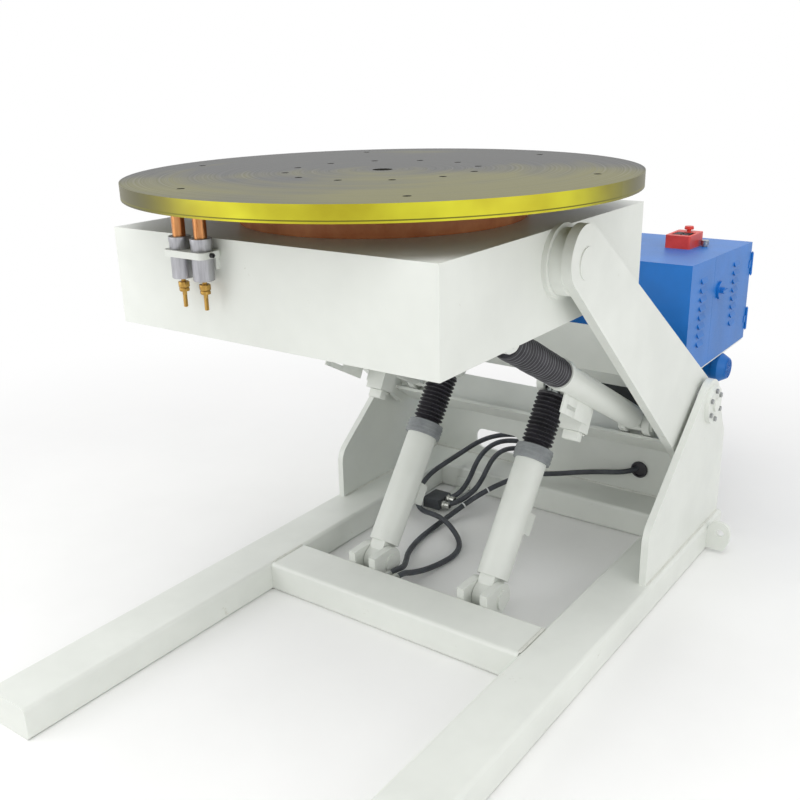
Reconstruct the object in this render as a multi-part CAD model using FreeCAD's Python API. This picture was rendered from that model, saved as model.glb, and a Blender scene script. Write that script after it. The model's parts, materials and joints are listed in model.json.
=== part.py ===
import FreeCAD, Part
import math
import os

# Hydraulic welding positioner, millimetres, +Z up.  The lift axis and the tilt axis run along X.
# Origin: on the floor under the front cross beam, straight below the tilt axis.  -Y is the front.

V = FreeCAD.Vector
os.makedirs("parts", exist_ok=True)

# ---------------------------------------------------------------- driving dimensions
# welded base
leg_width = 185.0
leg_height = 110.0
tube_wall = 8.0
tube_corner = 14.0
leg_front_reach = 1140.0
leg_rear_reach = 1245.0
front_beam_rear = 82.0
rear_beam_front = 1040.0
cross_beam_width = 186.0
rear_wall_height = 290.0
rear_wall_thickness = 12.0
cable_hole_radius = 30.0
cable_hole_x = 360.0
cable_hole_height = 108.0
hose_window_x = -325.0
hose_window_width = 232.0
hose_window_low = 150.0
hose_window_high = 242.0
hose_window_corner = 40.0
lug_y = 1084.0
lug_reach = 88.0
lug_thickness = 16.0
lug_hole_radius = 16.0
lug_hole_height = 88.0

# uprights and the lift axis
lift_axis_y = 1040.0
lift_axis_z = 620.0
upright_thickness = 25.0
upright_inset = 18.0
upright_foot_front = 500.0
upright_shoulder = 300.0
upright_head_radius = 95.0
upright_back_bulge = 450.0
lift_pin_radius = 40.0
pivot_gap = 15.0
bush_wall = 14.0
pivot_cap_radius = 72.0
pivot_cap_thickness = 16.0
pivot_boss_radius = 26.0
pivot_bolt_circle = 54.0
pivot_bolt_count = 6
pivot_bolt_head = 10.0
pivot_bolt_height = 8.0

# lifting arm
arm_thickness = 30.0
arm_head_reach = 102.0
arm_upper_edge = 103.0
arm_lower_edge = 72.0
arm_belly_u = 155.0
arm_belly_v = 229.0
arm_heel_u = 20.0
arm_heel_v = 248.0
arm_tail_reach = 105.0
upper_beam_front = 420.0
upper_beam_length = 150.0
upper_beam_low = -62.0
upper_beam_top = 103.0
lower_beam_front = 88.0
lower_beam_length = 130.0
lower_beam_low = -206.0
lower_beam_top = -80.0
ledge_reach = 32.0
ledge_thickness = 12.0

# tilting box and its trunnions
tilt_axis_z = 1320.0
box_half_width = 562.0
box_front_reach = 587.0
box_rear_reach = 572.0
box_above_axis = 92.0
box_below_axis = 187.5
box_plate = 16.0
box_top_plate = 25.0
hub_gap = 53.0
trunnion_radius = 45.0
trunnion_depth = 60.0
trunnion_flange_radius = 104.0
trunnion_flange_thickness = 15.0
trunnion_hub_radius = 92.0
trunnion_wall = 17.0

# slewing ring, pinion and drive
gear_module = 10.0
ring_teeth = 82
pinion_teeth = 14
pressure_angle = math.radians(20.0)
tooth_backlash = 0.5
ring_center_y = -40.0
ring_height = 88.0
ring_inner_radius = 300.0
raceway_radius = 354.0
raceway_clearance = 0.5
ring_floor_gap = 6.0
ring_table_gap = 8.0
pinion_bore_radius = 30.0
gearbox_radius = 88.0
gearbox_length = 120.0
drive_motor_radius = 62.0

# faceplate
table_radius = 750.0
table_thickness = 44.0
inner_hole_circle = 285.0
inner_hole_count = 12
outer_hole_circle = 635.0
outer_hole_count = 6
table_hole_radius = 11.0
first_hole_angle = 12.0
centre_bore_radius = 30.0

# lift cylinders
lift_cylinder_x = 237.0
lift_foot_y = 180.0
lift_foot_z = 86.0
lift_eye_u = 371.0
lift_eye_v = -115.0
lift_barrel_radius = 57.0
lift_bore_radius = 45.0
lift_barrel_tail = 66.0
lift_barrel_end = 500.0
lift_collar_radius = 67.0
lift_collar_length = 52.0
lift_rod_radius = 28.0
lift_piston_at = 192.0
lift_bellows_radius = 57.0
lift_eye_radius = 50.0
lift_rod_eye_radius = 38.0
lift_bellows_stop = 52.0
lift_valve_at = 250.0
lift_valve_length = 80.0
lift_valve_width = 68.0
lift_valve_depth = 52.0

# tilt cylinders
tilt_cylinder_inset = 82.0
tilt_foot_u = 133.0
tilt_foot_v = -142.0
tilt_eye_y = -190.0
tilt_eye_drop = 181.0
tilt_barrel_radius = 44.0
tilt_bore_radius = 36.0
tilt_barrel_tail = 75.0
tilt_barrel_end = 758.0
tilt_piston_at = 418.0
tilt_gland_radius = 50.0
tilt_gland_length = 30.0
tilt_rod_radius = 24.0
tilt_bellows_radius = 48.0
tilt_bellows_stop = 60.0
tilt_eye_radius = 38.0
tilt_valve_at = 390.0
tilt_valve_length = 76.0
tilt_valve_width = 72.0
tilt_valve_inset = 66.0
tilt_valve_drop = 128.0

# shared by the cylinders' pivots
pivot_eye_width = 60.0
foot_pin_radius = 25.0
ear_thickness = 28.0
ear_clearance = 2.0
running_gap = 0.05
seat_gap = 0.3
bellows_wall = 4.0

# earthing brushes on the front of the box
brush_x = (-240.0, -158.0)
brush_clamp_z = 1375.0
brush_tube_radius = 21.0
brush_rod_radius = 12.0
brush_standoff = 40.0
brush_tube_length = 132.0
brush_nut_gap = 14.0
brush_nut_radius = 19.0
brush_nut_height = 16.0
brush_stud_radius = 8.0
brush_stud_length = 54.0

# power unit
cabinet_low_x = 40.0
cabinet_width = 560.0
cabinet_front = 955.0
cabinet_length = 696.0
cabinet_floor = 723.0
cabinet_height = 421.0
cabinet_sheet = 3.0
louvre_share = (0.19, 0.72)
louvre_count = 8
louvre_pitch = 34.0
louvre_length = 58.0
louvre_slot = 9.0
louvre_rise = 9.0
louvre_first_drop = 85.0
cabinet_roof_fall = 20.0
latch_drop = 147.0
frame_tube = 80.0
deck_thickness = 8.0
tank_low_x = 120.0
tank_high_x = 560.0
tank_front = 1150.0
tank_rear = 1300.0
tank_height = 230.0
motor_y = 1400.0
motor_z = 655.0
motor_radius = 54.0
motor_length = 280.0
motor_front_x = 575.0
cowl_length = 52.0
pendant_corner = (363.0, 1307.0)
pendant_width = 100.0
pendant_length = 150.0
pendant_top = 1184.0
key_height = 8.0
stop_travel = 8.0
stop_head_radius = 17.0
stop_stem_radius = 8.0
stem_gap = 0.1
breather_place = (484.0, 1420.0)
hinge_heights = (790.0, 1020.0)
hinge_knuckle = 30.0
hinge_radius = 5.0
hinge_pin_radius = 2.5
hinge_leaf = 28.0
door_hinge_gap = 3.0
door_front_share = 0.36
door_seam = 1.0

# ---------------------------------------------------------------- places worked out from them
tilt_cylinder_x = box_half_width - tilt_cylinder_inset
arm_inner_x = box_half_width + hub_gap
arm_outer_x = arm_inner_x + arm_thickness
upright_inner_x = arm_outer_x + pivot_gap
upright_outer_x = upright_inner_x + upright_thickness
base_half_width = upright_outer_x + upright_inset
leg_inner_x = base_half_width - leg_width

arm_length = math.hypot(lift_axis_y, tilt_axis_z - lift_axis_z)
arm_along = (-lift_axis_y / arm_length, (tilt_axis_z - lift_axis_z) / arm_length)
arm_across = (arm_along[1], -arm_along[0])

box_top = tilt_axis_z + box_above_axis
box_bottom = tilt_axis_z - box_below_axis
table_bottom = box_top + ring_height
table_top = table_bottom + table_thickness
gear_distance = gear_module * (ring_teeth + pinion_teeth) / 2.0
pinion_y = ring_center_y + gear_distance
ring_pitch_radius = gear_module * ring_teeth / 2.0
pinion_pitch_radius = gear_module * pinion_teeth / 2.0
ear_inner = pivot_eye_width / 2.0 + ear_clearance
ear_outer = ear_inner + ear_thickness
cabinet_high_x = cabinet_low_x + cabinet_width
cabinet_rear = cabinet_front + cabinet_length
cabinet_top = cabinet_floor + cabinet_height
rear_beam_rear = rear_beam_front + cross_beam_width
front_beam_front = front_beam_rear - cross_beam_width


def arm_point(u, v):
    """Side-view place (y, z) of a point u along the arm from the lift axis and v above its centre line."""
    return (lift_axis_y + u * arm_along[0] + v * arm_across[0],
            lift_axis_z + u * arm_along[1] + v * arm_across[1])


lift_foot = (lift_foot_y, lift_foot_z)
lift_eye = arm_point(lift_eye_u, lift_eye_v)
tilt_foot = arm_point(tilt_foot_u, tilt_foot_v)
tilt_eye = (tilt_eye_y, tilt_axis_z - tilt_eye_drop)


# ---------------------------------------------------------------- shape helpers
def box(low, high):
    return Part.makeBox(high[0] - low[0], high[1] - low[1], high[2] - low[2], V(*low))


def rod(radius, start, direction, length):
    return Part.makeCylinder(radius, length, V(*start), V(*direction))


def ring(outer, inner, start, direction, length):
    return rod(outer, start, direction, length).cut(rod(inner, start, direction, length))


def x_rod(radius, side, x0, x1):
    """Cylinder along X at the side-view place (y, z)."""
    return rod(radius, (min(x0, x1), side[0], side[1]), (1, 0, 0), abs(x1 - x0))


def x_ring(outer, inner, side, x0, x1):
    return x_rod(outer, side, x0, x1).cut(x_rod(inner, side, x0, x1))


def rounded_wire(corners, place):
    """Closed outline through corners (a, b, radius), laid into space by place(a, b)."""
    edges = []
    ends = []
    count = len(corners)
    for i, (a, b, radius) in enumerate(corners):
        corner = FreeCAD.Vector(a, b, 0)
        back = FreeCAD.Vector(*corners[i - 1][:2], 0) - corner
        ahead = FreeCAD.Vector(*corners[(i + 1) % count][:2], 0) - corner
        if radius <= 0:
            ends.append((corner, None, corner))
            continue
        back.normalize()
        ahead.normalize()
        half = back.getAngle(ahead) / 2.0
        reach = radius / math.tan(half)
        middle = back + ahead
        middle.normalize()
        middle = corner + middle * (radius / math.sin(half) - radius)
        ends.append((corner + back * reach, middle, corner + ahead * reach))
    for i, (start, middle, end) in enumerate(ends):
        if middle is not None:
            edges.append(Part.Arc(place(start.x, start.y), place(middle.x, middle.y), place(end.x, end.y)).toShape())
        following = ends[(i + 1) % count][0]
        if end.distanceToPoint(following) > 1e-6:
            edges.append(Part.LineSegment(place(end.x, end.y), place(following.x, following.y)).toShape())
    return Part.Wire(edges)


def plate_x(corners, x0, x1):
    """Plate across X with a side-view outline of corners (y, z, radius)."""
    wire = rounded_wire(corners, lambda y, z: V(x0, y, z))
    return Part.Face(wire).extrude(V(x1 - x0, 0, 0))


def plate_z(corners, z0, z1):
    wire = rounded_wire(corners, lambda x, y: V(x, y, z0))
    return Part.Face(wire).extrude(V(0, 0, z1 - z0))


def plate_y(corners, y0, y1):
    wire = rounded_wire(corners, lambda x, z: V(x, y0, z))
    return Part.Face(wire).extrude(V(0, y1 - y0, 0))


def arm_corners(corners):
    return [arm_point(u, v) + (radius,) for u, v, radius in corners]


def rectangle(a0, a1, b0, b1, radius=0.0):
    return [(a0, b0, radius), (a1, b0, radius), (a1, b1, radius), (a0, b1, radius)]


def mirrored(shape):
    return shape.mirror(V(0, 0, 0), V(1, 0, 0))


def both_sides(shape):
    return [shape, mirrored(shape)]


def fused(*shapes):
    return shapes[0].fuse(list(shapes[1:])).removeSplitter()


def solids_of(shapes):
    found = []
    for shape in shapes:
        found.extend(shape.Solids)
    return found


def write(name, *shapes):
    solids = solids_of(shapes)
    for solid in solids:
        if not solid.isValid():
            print("not valid:", name)
    shape = solids[0] if len(solids) == 1 else Part.makeCompound(solids)
    shape.exportStep("parts/" + name + ".step")


def hexagon_head(radius, start, direction, height):
    """Hexagon prism whose corners lie on radius."""
    axis = V(*direction)
    base = Part.makePolygon([V(radius * math.cos(math.radians(60 * i)), radius * math.sin(math.radians(60 * i)), 0)
                             for i in range(7)])
    head = Part.Face(base).extrude(V(0, 0, height))
    head.Placement = FreeCAD.Placement(V(*start), FreeCAD.Rotation(V(0, 0, 1), axis))
    return head


# ---------------------------------------------------------------- welded base
def leg_beam():
    """Right leg: a rectangular tube with its end plates and a lifting lug."""
    outer = rectangle(leg_inner_x, base_half_width, 0.0, leg_height, tube_corner)
    inner = rectangle(leg_inner_x + tube_wall, base_half_width - tube_wall, tube_wall, leg_height - tube_wall)
    front = -leg_front_reach + tube_wall
    rear = leg_rear_reach - tube_wall
    tube = plate_y(outer, front, rear).cut(plate_y(inner, front, rear))
    caps = [plate_y(outer, front - tube_wall, front), plate_y(outer, rear, rear + tube_wall)]
    tip = base_half_width + lug_reach
    lug = plate_y([(base_half_width, tube_corner, 0), (tip - 20, tube_corner, 0), (tip, 60, 0),
                   (tip, lug_hole_height + 45, 38), (base_half_width + 20, lug_hole_height + 45, 0),
                   (base_half_width, leg_height - tube_corner, 0)],
                  lug_y - lug_thickness / 2.0, lug_y + lug_thickness / 2.0)
    lug = lug.cut(rod(lug_hole_radius, (lug_hole_x(), lug_y - lug_thickness, lug_hole_height), (0, 1, 0),
                      2 * lug_thickness))
    return [fused(tube, lug)] + caps


def lug_hole_x():
    return base_half_width + lug_reach - 38.0


def cross_beam(y0, y1):
    outer = rectangle(y0, y1, 0.0, leg_height, tube_corner)
    inner = rectangle(y0 + tube_wall, y1 - tube_wall, tube_wall, leg_height - tube_wall)
    return plate_x(outer, -leg_inner_x, leg_inner_x).cut(plate_x(inner, -leg_inner_x, leg_inner_x))


def ear_pair(corners, x, inner, outer):
    return [plate_x(corners, x + inner, x + outer), plate_x(corners, x - outer, x - inner)]


def lift_foot_ears():
    y, z = lift_foot
    reach = lift_eye_radius + 8
    low = tube_corner + 14
    corners = [(front_beam_rear, low, 0), (y, low, 0), (y + reach, z - 24, 0), (y + reach, z + reach, reach),
               (front_beam_rear, z + reach, 0)]
    ears = []
    for x in (-lift_cylinder_x, lift_cylinder_x):
        ears += ear_pair(corners, x, ear_inner, ear_outer)
    bores = [x_rod(foot_pin_radius, lift_foot, x - ear_outer, x + ear_outer)
             for x in (-lift_cylinder_x, lift_cylinder_x)]
    return [ear.cut(bores) for ear in ears]


def front_beam():
    return fused(cross_beam(front_beam_front, front_beam_rear), *lift_foot_ears())


def foot_pins(side, centres):
    """Foot pins, each with a head against the right ear."""
    pins = []
    for x in centres:
        pin = x_rod(foot_pin_radius, side, x - ear_outer - 8, x + ear_outer)
        pins.append(fused(pin, x_rod(foot_pin_radius + 9, side, x + ear_outer, x + ear_outer + 8)))
    return pins


def rear_wall():
    """Closing wall between the uprights with a rounded window for the hoses and a cable hole."""
    front = rear_beam_rear - rear_wall_thickness
    wall = box((-upright_inner_x, front, leg_height), (upright_inner_x, rear_beam_rear, leg_height + rear_wall_height))
    half = hose_window_width / 2.0
    window = plate_y(rectangle(hose_window_x - half, hose_window_x + half, hose_window_low, hose_window_high,
                               hose_window_corner), front, rear_beam_rear)
    hole = rod(cable_hole_radius, (cable_hole_x, front, leg_height + cable_hole_height), (0, 1, 0),
               rear_wall_thickness)
    return wall.cut([window, hole])


def upright():
    """Right upright: its front edge leans back to the round head about the lift axis."""
    back = leg_rear_reach - 8
    head = upright_head_radius
    slope = math.atan2(lift_axis_z - upright_shoulder, lift_axis_y - upright_foot_front) * 1.27
    tangent_y = lift_axis_y - head * math.sin(slope)
    tangent_z = lift_axis_z + head * math.cos(slope)
    run = tangent_y - upright_foot_front
    shoulder_z = tangent_z - run * math.tan(slope)
    front_wire = [(upright_foot_front, leg_height, 0), (back, leg_height, 0), (back, upright_back_bulge, 60),
                  (lift_axis_y + head, lift_axis_z, 0), (lift_axis_y, lift_axis_z, 0), (tangent_y, tangent_z, 0),
                  (upright_foot_front, shoulder_z, 90)]
    plate = plate_x(front_wire, upright_inner_x, upright_outer_x)
    disc = x_rod(head, (lift_axis_y, lift_axis_z), upright_inner_x, upright_outer_x)
    bore = x_rod(lift_pin_radius, (lift_axis_y, lift_axis_z), upright_inner_x, upright_outer_x)
    return fused(plate, disc).cut(bore)


def lift_axis():
    return (lift_axis_y, lift_axis_z)


def pivot_pin():
    """Right lift pin with its thrust ring between the arm plate and the upright."""
    inner = arm_inner_x - 8
    pin = x_rod(lift_pin_radius, lift_axis(), inner, upright_outer_x)
    thrust = x_ring(lift_pin_radius + 30, lift_pin_radius - 1, lift_axis(), arm_outer_x + seat_gap, upright_inner_x)
    return fused(pin, thrust)


def pivot_cap():
    outer = upright_outer_x + pivot_cap_thickness
    return fused(x_rod(pivot_cap_radius, lift_axis(), upright_outer_x, outer),
                 x_rod(pivot_boss_radius, lift_axis(), outer, outer + 9))


def pivot_bolts():
    bolts = []
    for i in range(pivot_bolt_count):
        angle = 2 * math.pi * (i + 0.5) / pivot_bolt_count
        place = (upright_outer_x + pivot_cap_thickness, lift_axis_y + pivot_bolt_circle * math.cos(angle),
                 lift_axis_z + pivot_bolt_circle * math.sin(angle))
        bolts.append(hexagon_head(pivot_bolt_head, place, (1, 0, 0), pivot_bolt_height))
    return bolts


# ---------------------------------------------------------------- lifting arm
def arm_plate():
    """Right side plate of the arm, round at both axes and deep at the heel."""
    head = arm_length + arm_head_reach
    corners = [(-arm_tail_reach, arm_upper_edge, 95), (-arm_tail_reach, -60, 70), (arm_heel_u, -arm_heel_v, 45),
               (arm_belly_u, -arm_belly_v, 60), (head - 6, -arm_lower_edge, 84), (head, arm_upper_edge, 88)]
    plate = plate_x(arm_corners(corners), arm_inner_x, arm_outer_x)
    plate = plate.cut(x_rod(lift_pin_radius + bush_wall, lift_axis(), arm_inner_x, arm_outer_x))
    return plate.cut(x_rod(trunnion_radius, (0.0, tilt_axis_z), arm_inner_x, arm_outer_x))


def pivot_bush():
    return x_ring(lift_pin_radius + bush_wall, lift_pin_radius + running_gap, lift_axis(), arm_inner_x - 6,
                  arm_outer_x)


def arm_tube(u0, u1, v0, v1, wall):
    outer = arm_corners(rectangle(u0, u1, v0, v1))
    inner = arm_corners(rectangle(u0 + wall, u1 - wall, v0 + wall, v1 - wall))
    return plate_x(outer, -arm_inner_x, arm_inner_x).cut(plate_x(inner, -arm_inner_x, arm_inner_x))


def pinned_ears(corners, pin_u, pin_v, centres):
    """A pair of ears, outlined in arm coordinates and bored for the pin, about each cylinder's centre."""
    side = arm_point(pin_u, pin_v)
    ears = []
    for x in centres:
        for ear in ear_pair(arm_corners(corners), x, ear_inner, ear_outer):
            ears.append(ear.cut(x_rod(foot_pin_radius, side, x - ear_outer, x + ear_outer)))
    return ears


def upper_beam():
    """Upper cross tube with the lift cylinders' ears hanging from its underside."""
    tube = arm_tube(upper_beam_front - upper_beam_length, upper_beam_front, upper_beam_low, upper_beam_top, 10.0)
    u, v, reach = lift_eye_u, lift_eye_v, lift_rod_eye_radius + 8
    corners = [(u - 60, upper_beam_low, 0), (u - reach, v - reach, reach), (u + reach, v - reach, reach),
               (u + 49, upper_beam_low, 0)]
    ears = pinned_ears(corners, u, v, (-lift_cylinder_x, lift_cylinder_x))
    return fused(tube, *ears)


def lower_beam():
    """Lower cross tube with a ledge and the tilt cylinders' ears on its front face."""
    front = lower_beam_front
    tube = arm_tube(front - lower_beam_length, front, lower_beam_low, lower_beam_top, 10.0)
    ledge = plate_x(arm_corners(rectangle(front, front + ledge_reach, lower_beam_low,
                                          lower_beam_low + ledge_thickness)), -arm_inner_x, arm_inner_x)
    u, v, reach = tilt_foot_u, tilt_foot_v, tilt_eye_radius + 4
    corners = [(front, v - 50, 0), (u + reach, v - reach, reach), (u + reach, v + reach, reach), (front, v + 50, 0)]
    ears = pinned_ears(corners, u, v, (-tilt_cylinder_x, tilt_cylinder_x))
    return fused(tube, ledge, *ears)


def rod_eye_pin_ends(side, centres):
    """Pin ends held in the ears; the rod eye carries the pin's middle."""
    ends = []
    for x in centres:
        for inner, outer in ((x + ear_inner, x + ear_outer + 8), (x - ear_outer - 8, x - ear_inner)):
            ends.append(x_rod(foot_pin_radius, side, inner, outer))
    return ends


def trunnion():
    """Right trunnion: pin and hub turned in one piece, fixed in the arm plate."""
    axis = (0.0, tilt_axis_z)
    pin = x_rod(trunnion_radius, axis, arm_inner_x - trunnion_depth, arm_outer_x + 3)
    hub_start = box_half_width + trunnion_flange_thickness + seat_gap
    return fused(pin, x_ring(trunnion_hub_radius, trunnion_radius - 1, axis, hub_start, arm_inner_x))


# ---------------------------------------------------------------- tilting box
def tilt_box():
    outer = box((-box_half_width, -box_front_reach, box_bottom), (box_half_width, box_rear_reach, box_top))
    inner = box((-box_half_width + box_plate, -box_front_reach + box_plate, box_bottom - 1),
                (box_half_width - box_plate, box_rear_reach - box_plate, box_top - box_top_plate))
    shell = outer.cut(inner)
    shell = shell.cut(rod(ring_inner_radius - 40, (0, ring_center_y, box_top - 2 * box_top_plate), (0, 0, 1),
                          3 * box_top_plate))
    shell = shell.cut(rod(pinion_pitch_radius, (0, pinion_y, box_top - 2 * box_top_plate), (0, 0, 1),
                          3 * box_top_plate))
    seat = trunnion_radius + trunnion_wall
    for side in (-1, 1):
        shell = shell.cut(x_rod(seat, (0, tilt_axis_z), side * (box_half_width - 2 * box_plate),
                                side * (box_half_width + 1)))
    return shell


def tilt_rod_ears():
    """Ears under the top plate for the tilt cylinders' rod eyes."""
    y, z = tilt_eye
    top = box_top - box_top_plate
    reach = tilt_eye_radius
    corners = [(y - 110, top, 0), (y - reach, z - reach, reach), (y + reach, z - reach, reach), (y + 110, top, 0)]
    ears = []
    for x in (-tilt_cylinder_x, tilt_cylinder_x):
        for ear in ear_pair(corners, x, ear_inner, ear_inner + 18):
            ears.append(ear.cut(x_rod(foot_pin_radius, tilt_eye, x - ear_outer, x + ear_outer)))
    return ears


def tilt_pin_ends():
    ends = []
    for x in (-tilt_cylinder_x, tilt_cylinder_x):
        ends.append(x_rod(foot_pin_radius, tilt_eye, x + ear_inner, x + ear_inner + 20))
        ends.append(x_rod(foot_pin_radius, tilt_eye, x - ear_inner - 20, x - ear_inner))
    return ends


def trunnion_bearing():
    """Flanged bearing housing in the right wall of the box."""
    axis = (0.0, tilt_axis_z)
    seat = trunnion_radius + trunnion_wall
    flange = x_rod(trunnion_flange_radius, axis, box_half_width, box_half_width + trunnion_flange_thickness)
    sleeve = x_rod(seat, axis, arm_inner_x - trunnion_depth - 12, box_half_width)
    bore = x_rod(trunnion_radius + running_gap, axis, arm_inner_x - trunnion_depth - 4, arm_inner_x)
    return fused(flange, sleeve).cut(bore)


def gear_outline(teeth, tip_radius, root_radius, turn):
    """Involute tooth outline: each flank is a run of points on the involute of the base circle."""
    pitch_radius = gear_module * teeth / 2.0
    base_radius = pitch_radius * math.cos(pressure_angle)
    half_tooth = math.pi / (2 * teeth) - tooth_backlash / (4 * pitch_radius)
    at_pitch = math.tan(pressure_angle) - pressure_angle
    start = max(base_radius, root_radius)
    flank = []
    for step in range(3):
        radius = start + (tip_radius - start) * step / 2.0
        angle = math.acos(min(1.0, base_radius / radius))
        flank.append((radius, half_tooth + at_pitch - (math.tan(angle) - angle)))
    if root_radius < start - 0.01:
        flank.insert(0, (root_radius, flank[0][1]))
    points = []
    for tooth in range(teeth):
        middle = turn + 2 * math.pi * tooth / teeth
        for radius, half in flank:
            points.append((radius, middle - half))
        for radius, half in reversed(flank):
            points.append((radius, middle + half))
    return [V(radius * math.cos(angle), radius * math.sin(angle), 0) for radius, angle in points]


def gear(teeth, tip_radius, root_radius, turn, center_y, z0, z1):
    points = gear_outline(teeth, tip_radius, root_radius, turn)
    face = Part.Face(Part.makePolygon(points + [points[0]]))
    solid = face.extrude(V(0, 0, z1 - z0))
    solid.translate(V(0, center_y, z0))
    return solid


def ring_gear():
    tip = ring_pitch_radius + 0.85 * gear_module
    root = ring_pitch_radius - 1.25 * gear_module
    turn = math.pi / 2 + math.pi / ring_teeth
    wheel = gear(ring_teeth, tip, root, turn, ring_center_y, box_top + ring_floor_gap, table_bottom)
    return wheel.cut(rod(raceway_radius + raceway_clearance, (0, ring_center_y, box_top), (0, 0, 1), ring_height))


def pinion():
    tip = pinion_pitch_radius + gear_module
    root = pinion_pitch_radius - 1.25 * gear_module
    low = box_top + ring_floor_gap + 4
    wheel = gear(pinion_teeth, tip, root, -math.pi / 2, pinion_y, low, table_bottom - ring_table_gap)
    shaft = rod(pinion_bore_radius, (0, pinion_y, box_top - box_top_plate - 30), (0, 0, 1),
                table_bottom - ring_table_gap - (box_top - box_top_plate - 30))
    return fused(wheel, shaft)


def slewing_inner_ring():
    return ring(raceway_radius, ring_inner_radius, (0, ring_center_y, box_top), (0, 0, 1),
                ring_height - ring_table_gap)


def rotation_drive():
    """Gearbox and motor hung under the top plate on the pinion's axis."""
    top = box_top - box_top_plate
    flange = plate_z(rectangle(-gearbox_radius - 22, gearbox_radius + 22, pinion_y - gearbox_radius - 22,
                               pinion_y + gearbox_radius + 4, 14), top - 16, top)
    housing = rod(gearbox_radius, (0, pinion_y, top - 16 - gearbox_length), (0, 0, 1), gearbox_length)
    bottom = top - 16 - gearbox_length
    motor = rod(drive_motor_radius, (0, pinion_y, box_bottom + 12), (0, 0, 1), bottom - box_bottom - 12)
    bore = rod(pinion_bore_radius + running_gap, (0, pinion_y, top - 34), (0, 0, 1), 60)
    return fused(flange, housing, motor).cut(bore)


# ---------------------------------------------------------------- faceplate
def faceplate():
    centre = (0, ring_center_y, table_bottom)
    plate = rod(table_radius, centre, (0, 0, 1), table_thickness)
    cuts = [rod(centre_bore_radius, centre, (0, 0, 1), table_thickness)]
    for radius, count in ((inner_hole_circle, inner_hole_count), (outer_hole_circle, outer_hole_count)):
        for i in range(count):
            angle = math.radians(first_hole_angle + 360.0 * i / count)
            place = (radius * math.cos(angle), ring_center_y + radius * math.sin(angle), table_bottom)
            cuts.append(rod(table_hole_radius, place, (0, 0, 1), table_thickness))
    return plate.cut(cuts)


# ---------------------------------------------------------------- hydraulic cylinders
def along(shape, x, start, end):
    """Turn a shape built up +Z from its foot pin so that +Z runs from start to end in side view."""
    turn = math.atan2(-(end[0] - start[0]), end[1] - start[1])
    shape.Placement = FreeCAD.Placement(V(x, start[0], start[1]), FreeCAD.Rotation(V(1, 0, 0), math.degrees(turn)))
    return shape


def local_x_rod(radius, z, half):
    return rod(radius, (-half, 0, z), (1, 0, 0), 2 * half)


def barrel(radius, bore, end, eye_radius, tail):
    """Barrel with its tail eye; the bore is open at the rod end."""
    half = pivot_eye_width / 2.0
    eye = local_x_rod(eye_radius, 0, half)
    neck = box((-half, -eye_radius * 0.8, 0), (half, eye_radius * 0.8, tail + 12))
    tube = rod(radius, (0, 0, tail), (0, 0, 1), end - tail)
    body = fused(eye, neck, tube).cut(rod(bore, (0, 0, tail + 22), (0, 0, 1), end))
    return body.cut(local_x_rod(foot_pin_radius + running_gap, 0, half))


def piston_rod(radius, bore, eye_at, eye_radius, length):
    """Rod with its piston, end eye and the middle of the eye's pin."""
    half = pivot_eye_width / 2.0
    start = eye_at - length
    piston = rod(bore - 0.08, (0, 0, start), (0, 0, 1), 48)
    stem = rod(radius, (0, 0, start), (0, 0, 1), length - 10)
    eye = local_x_rod(eye_radius, eye_at, half)
    pin = local_x_rod(foot_pin_radius, eye_at, half + 1.5)
    return fused(piston, stem, eye, pin)


def bellows(radius, z0, z1):
    """Rubber gaiter: a sleeve as wide as its folds, closed at rest and at every length."""
    return ring(radius, radius - bellows_wall, (0, 0, z0), (0, 0, 1), z1 - z0)


def distance(a, b):
    return math.hypot(a[0] - b[0], a[1] - b[1])


def lift_cylinder(name, x):
    reach = distance(lift_foot, lift_eye)
    collar_end = lift_barrel_end + lift_collar_length
    body = barrel(lift_barrel_radius, lift_bore_radius, lift_barrel_end, lift_eye_radius, lift_barrel_tail)
    half = lift_valve_width / 2.0
    valve = box((-half, lift_barrel_radius, lift_valve_at),
                (half, lift_barrel_radius + lift_valve_depth, lift_valve_at + lift_valve_length))
    collar = ring(lift_collar_radius, lift_rod_radius + running_gap, (0, 0, lift_barrel_end), (0, 0, 1),
                  lift_collar_length)
    stem = piston_rod(lift_rod_radius, lift_bore_radius, reach, lift_rod_eye_radius,
                      reach - lift_piston_at)
    gaiter = bellows(lift_bellows_radius, collar_end + seat_gap, reach - lift_bellows_stop)
    for part_name, shapes in (("barrel", [body, valve]), ("collar", [collar]), ("rod", [stem]),
                              ("bellows", [gaiter])):
        write("lift_" + part_name + "_" + name, *[along(shape, x, lift_foot, lift_eye) for shape in shapes])


def tilt_cylinder(name, x):
    reach = distance(tilt_foot, tilt_eye)
    body = barrel(tilt_barrel_radius, tilt_bore_radius, tilt_barrel_end, tilt_eye_radius, tilt_barrel_tail)
    gland = ring(tilt_gland_radius, tilt_rod_radius + running_gap, (0, 0, tilt_barrel_end - tilt_gland_length),
                 (0, 0, 1), tilt_gland_length)
    middle = -math.copysign(tilt_valve_inset, x)
    low = tilt_valve_at - tilt_valve_length / 2.0
    valve = box((middle - tilt_valve_width / 2.0, -tilt_valve_drop, low),
                (middle + tilt_valve_width / 2.0, -20, low + tilt_valve_length))
    valve = valve.cut(rod(tilt_barrel_radius, (0, 0, low), (0, 0, 1), tilt_valve_length))
    stem = piston_rod(tilt_rod_radius, tilt_bore_radius, reach, tilt_eye_radius - 4, reach - tilt_piston_at)
    gaiter = bellows(tilt_bellows_radius, tilt_barrel_end + seat_gap, reach - tilt_bellows_stop)
    for part_name, shapes in (("barrel", [fused(body, gland), valve]), ("rod", [stem]), ("bellows", [gaiter])):
        write("tilt_" + part_name + "_" + name, *[along(shape, x, tilt_foot, tilt_eye) for shape in shapes])


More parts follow.
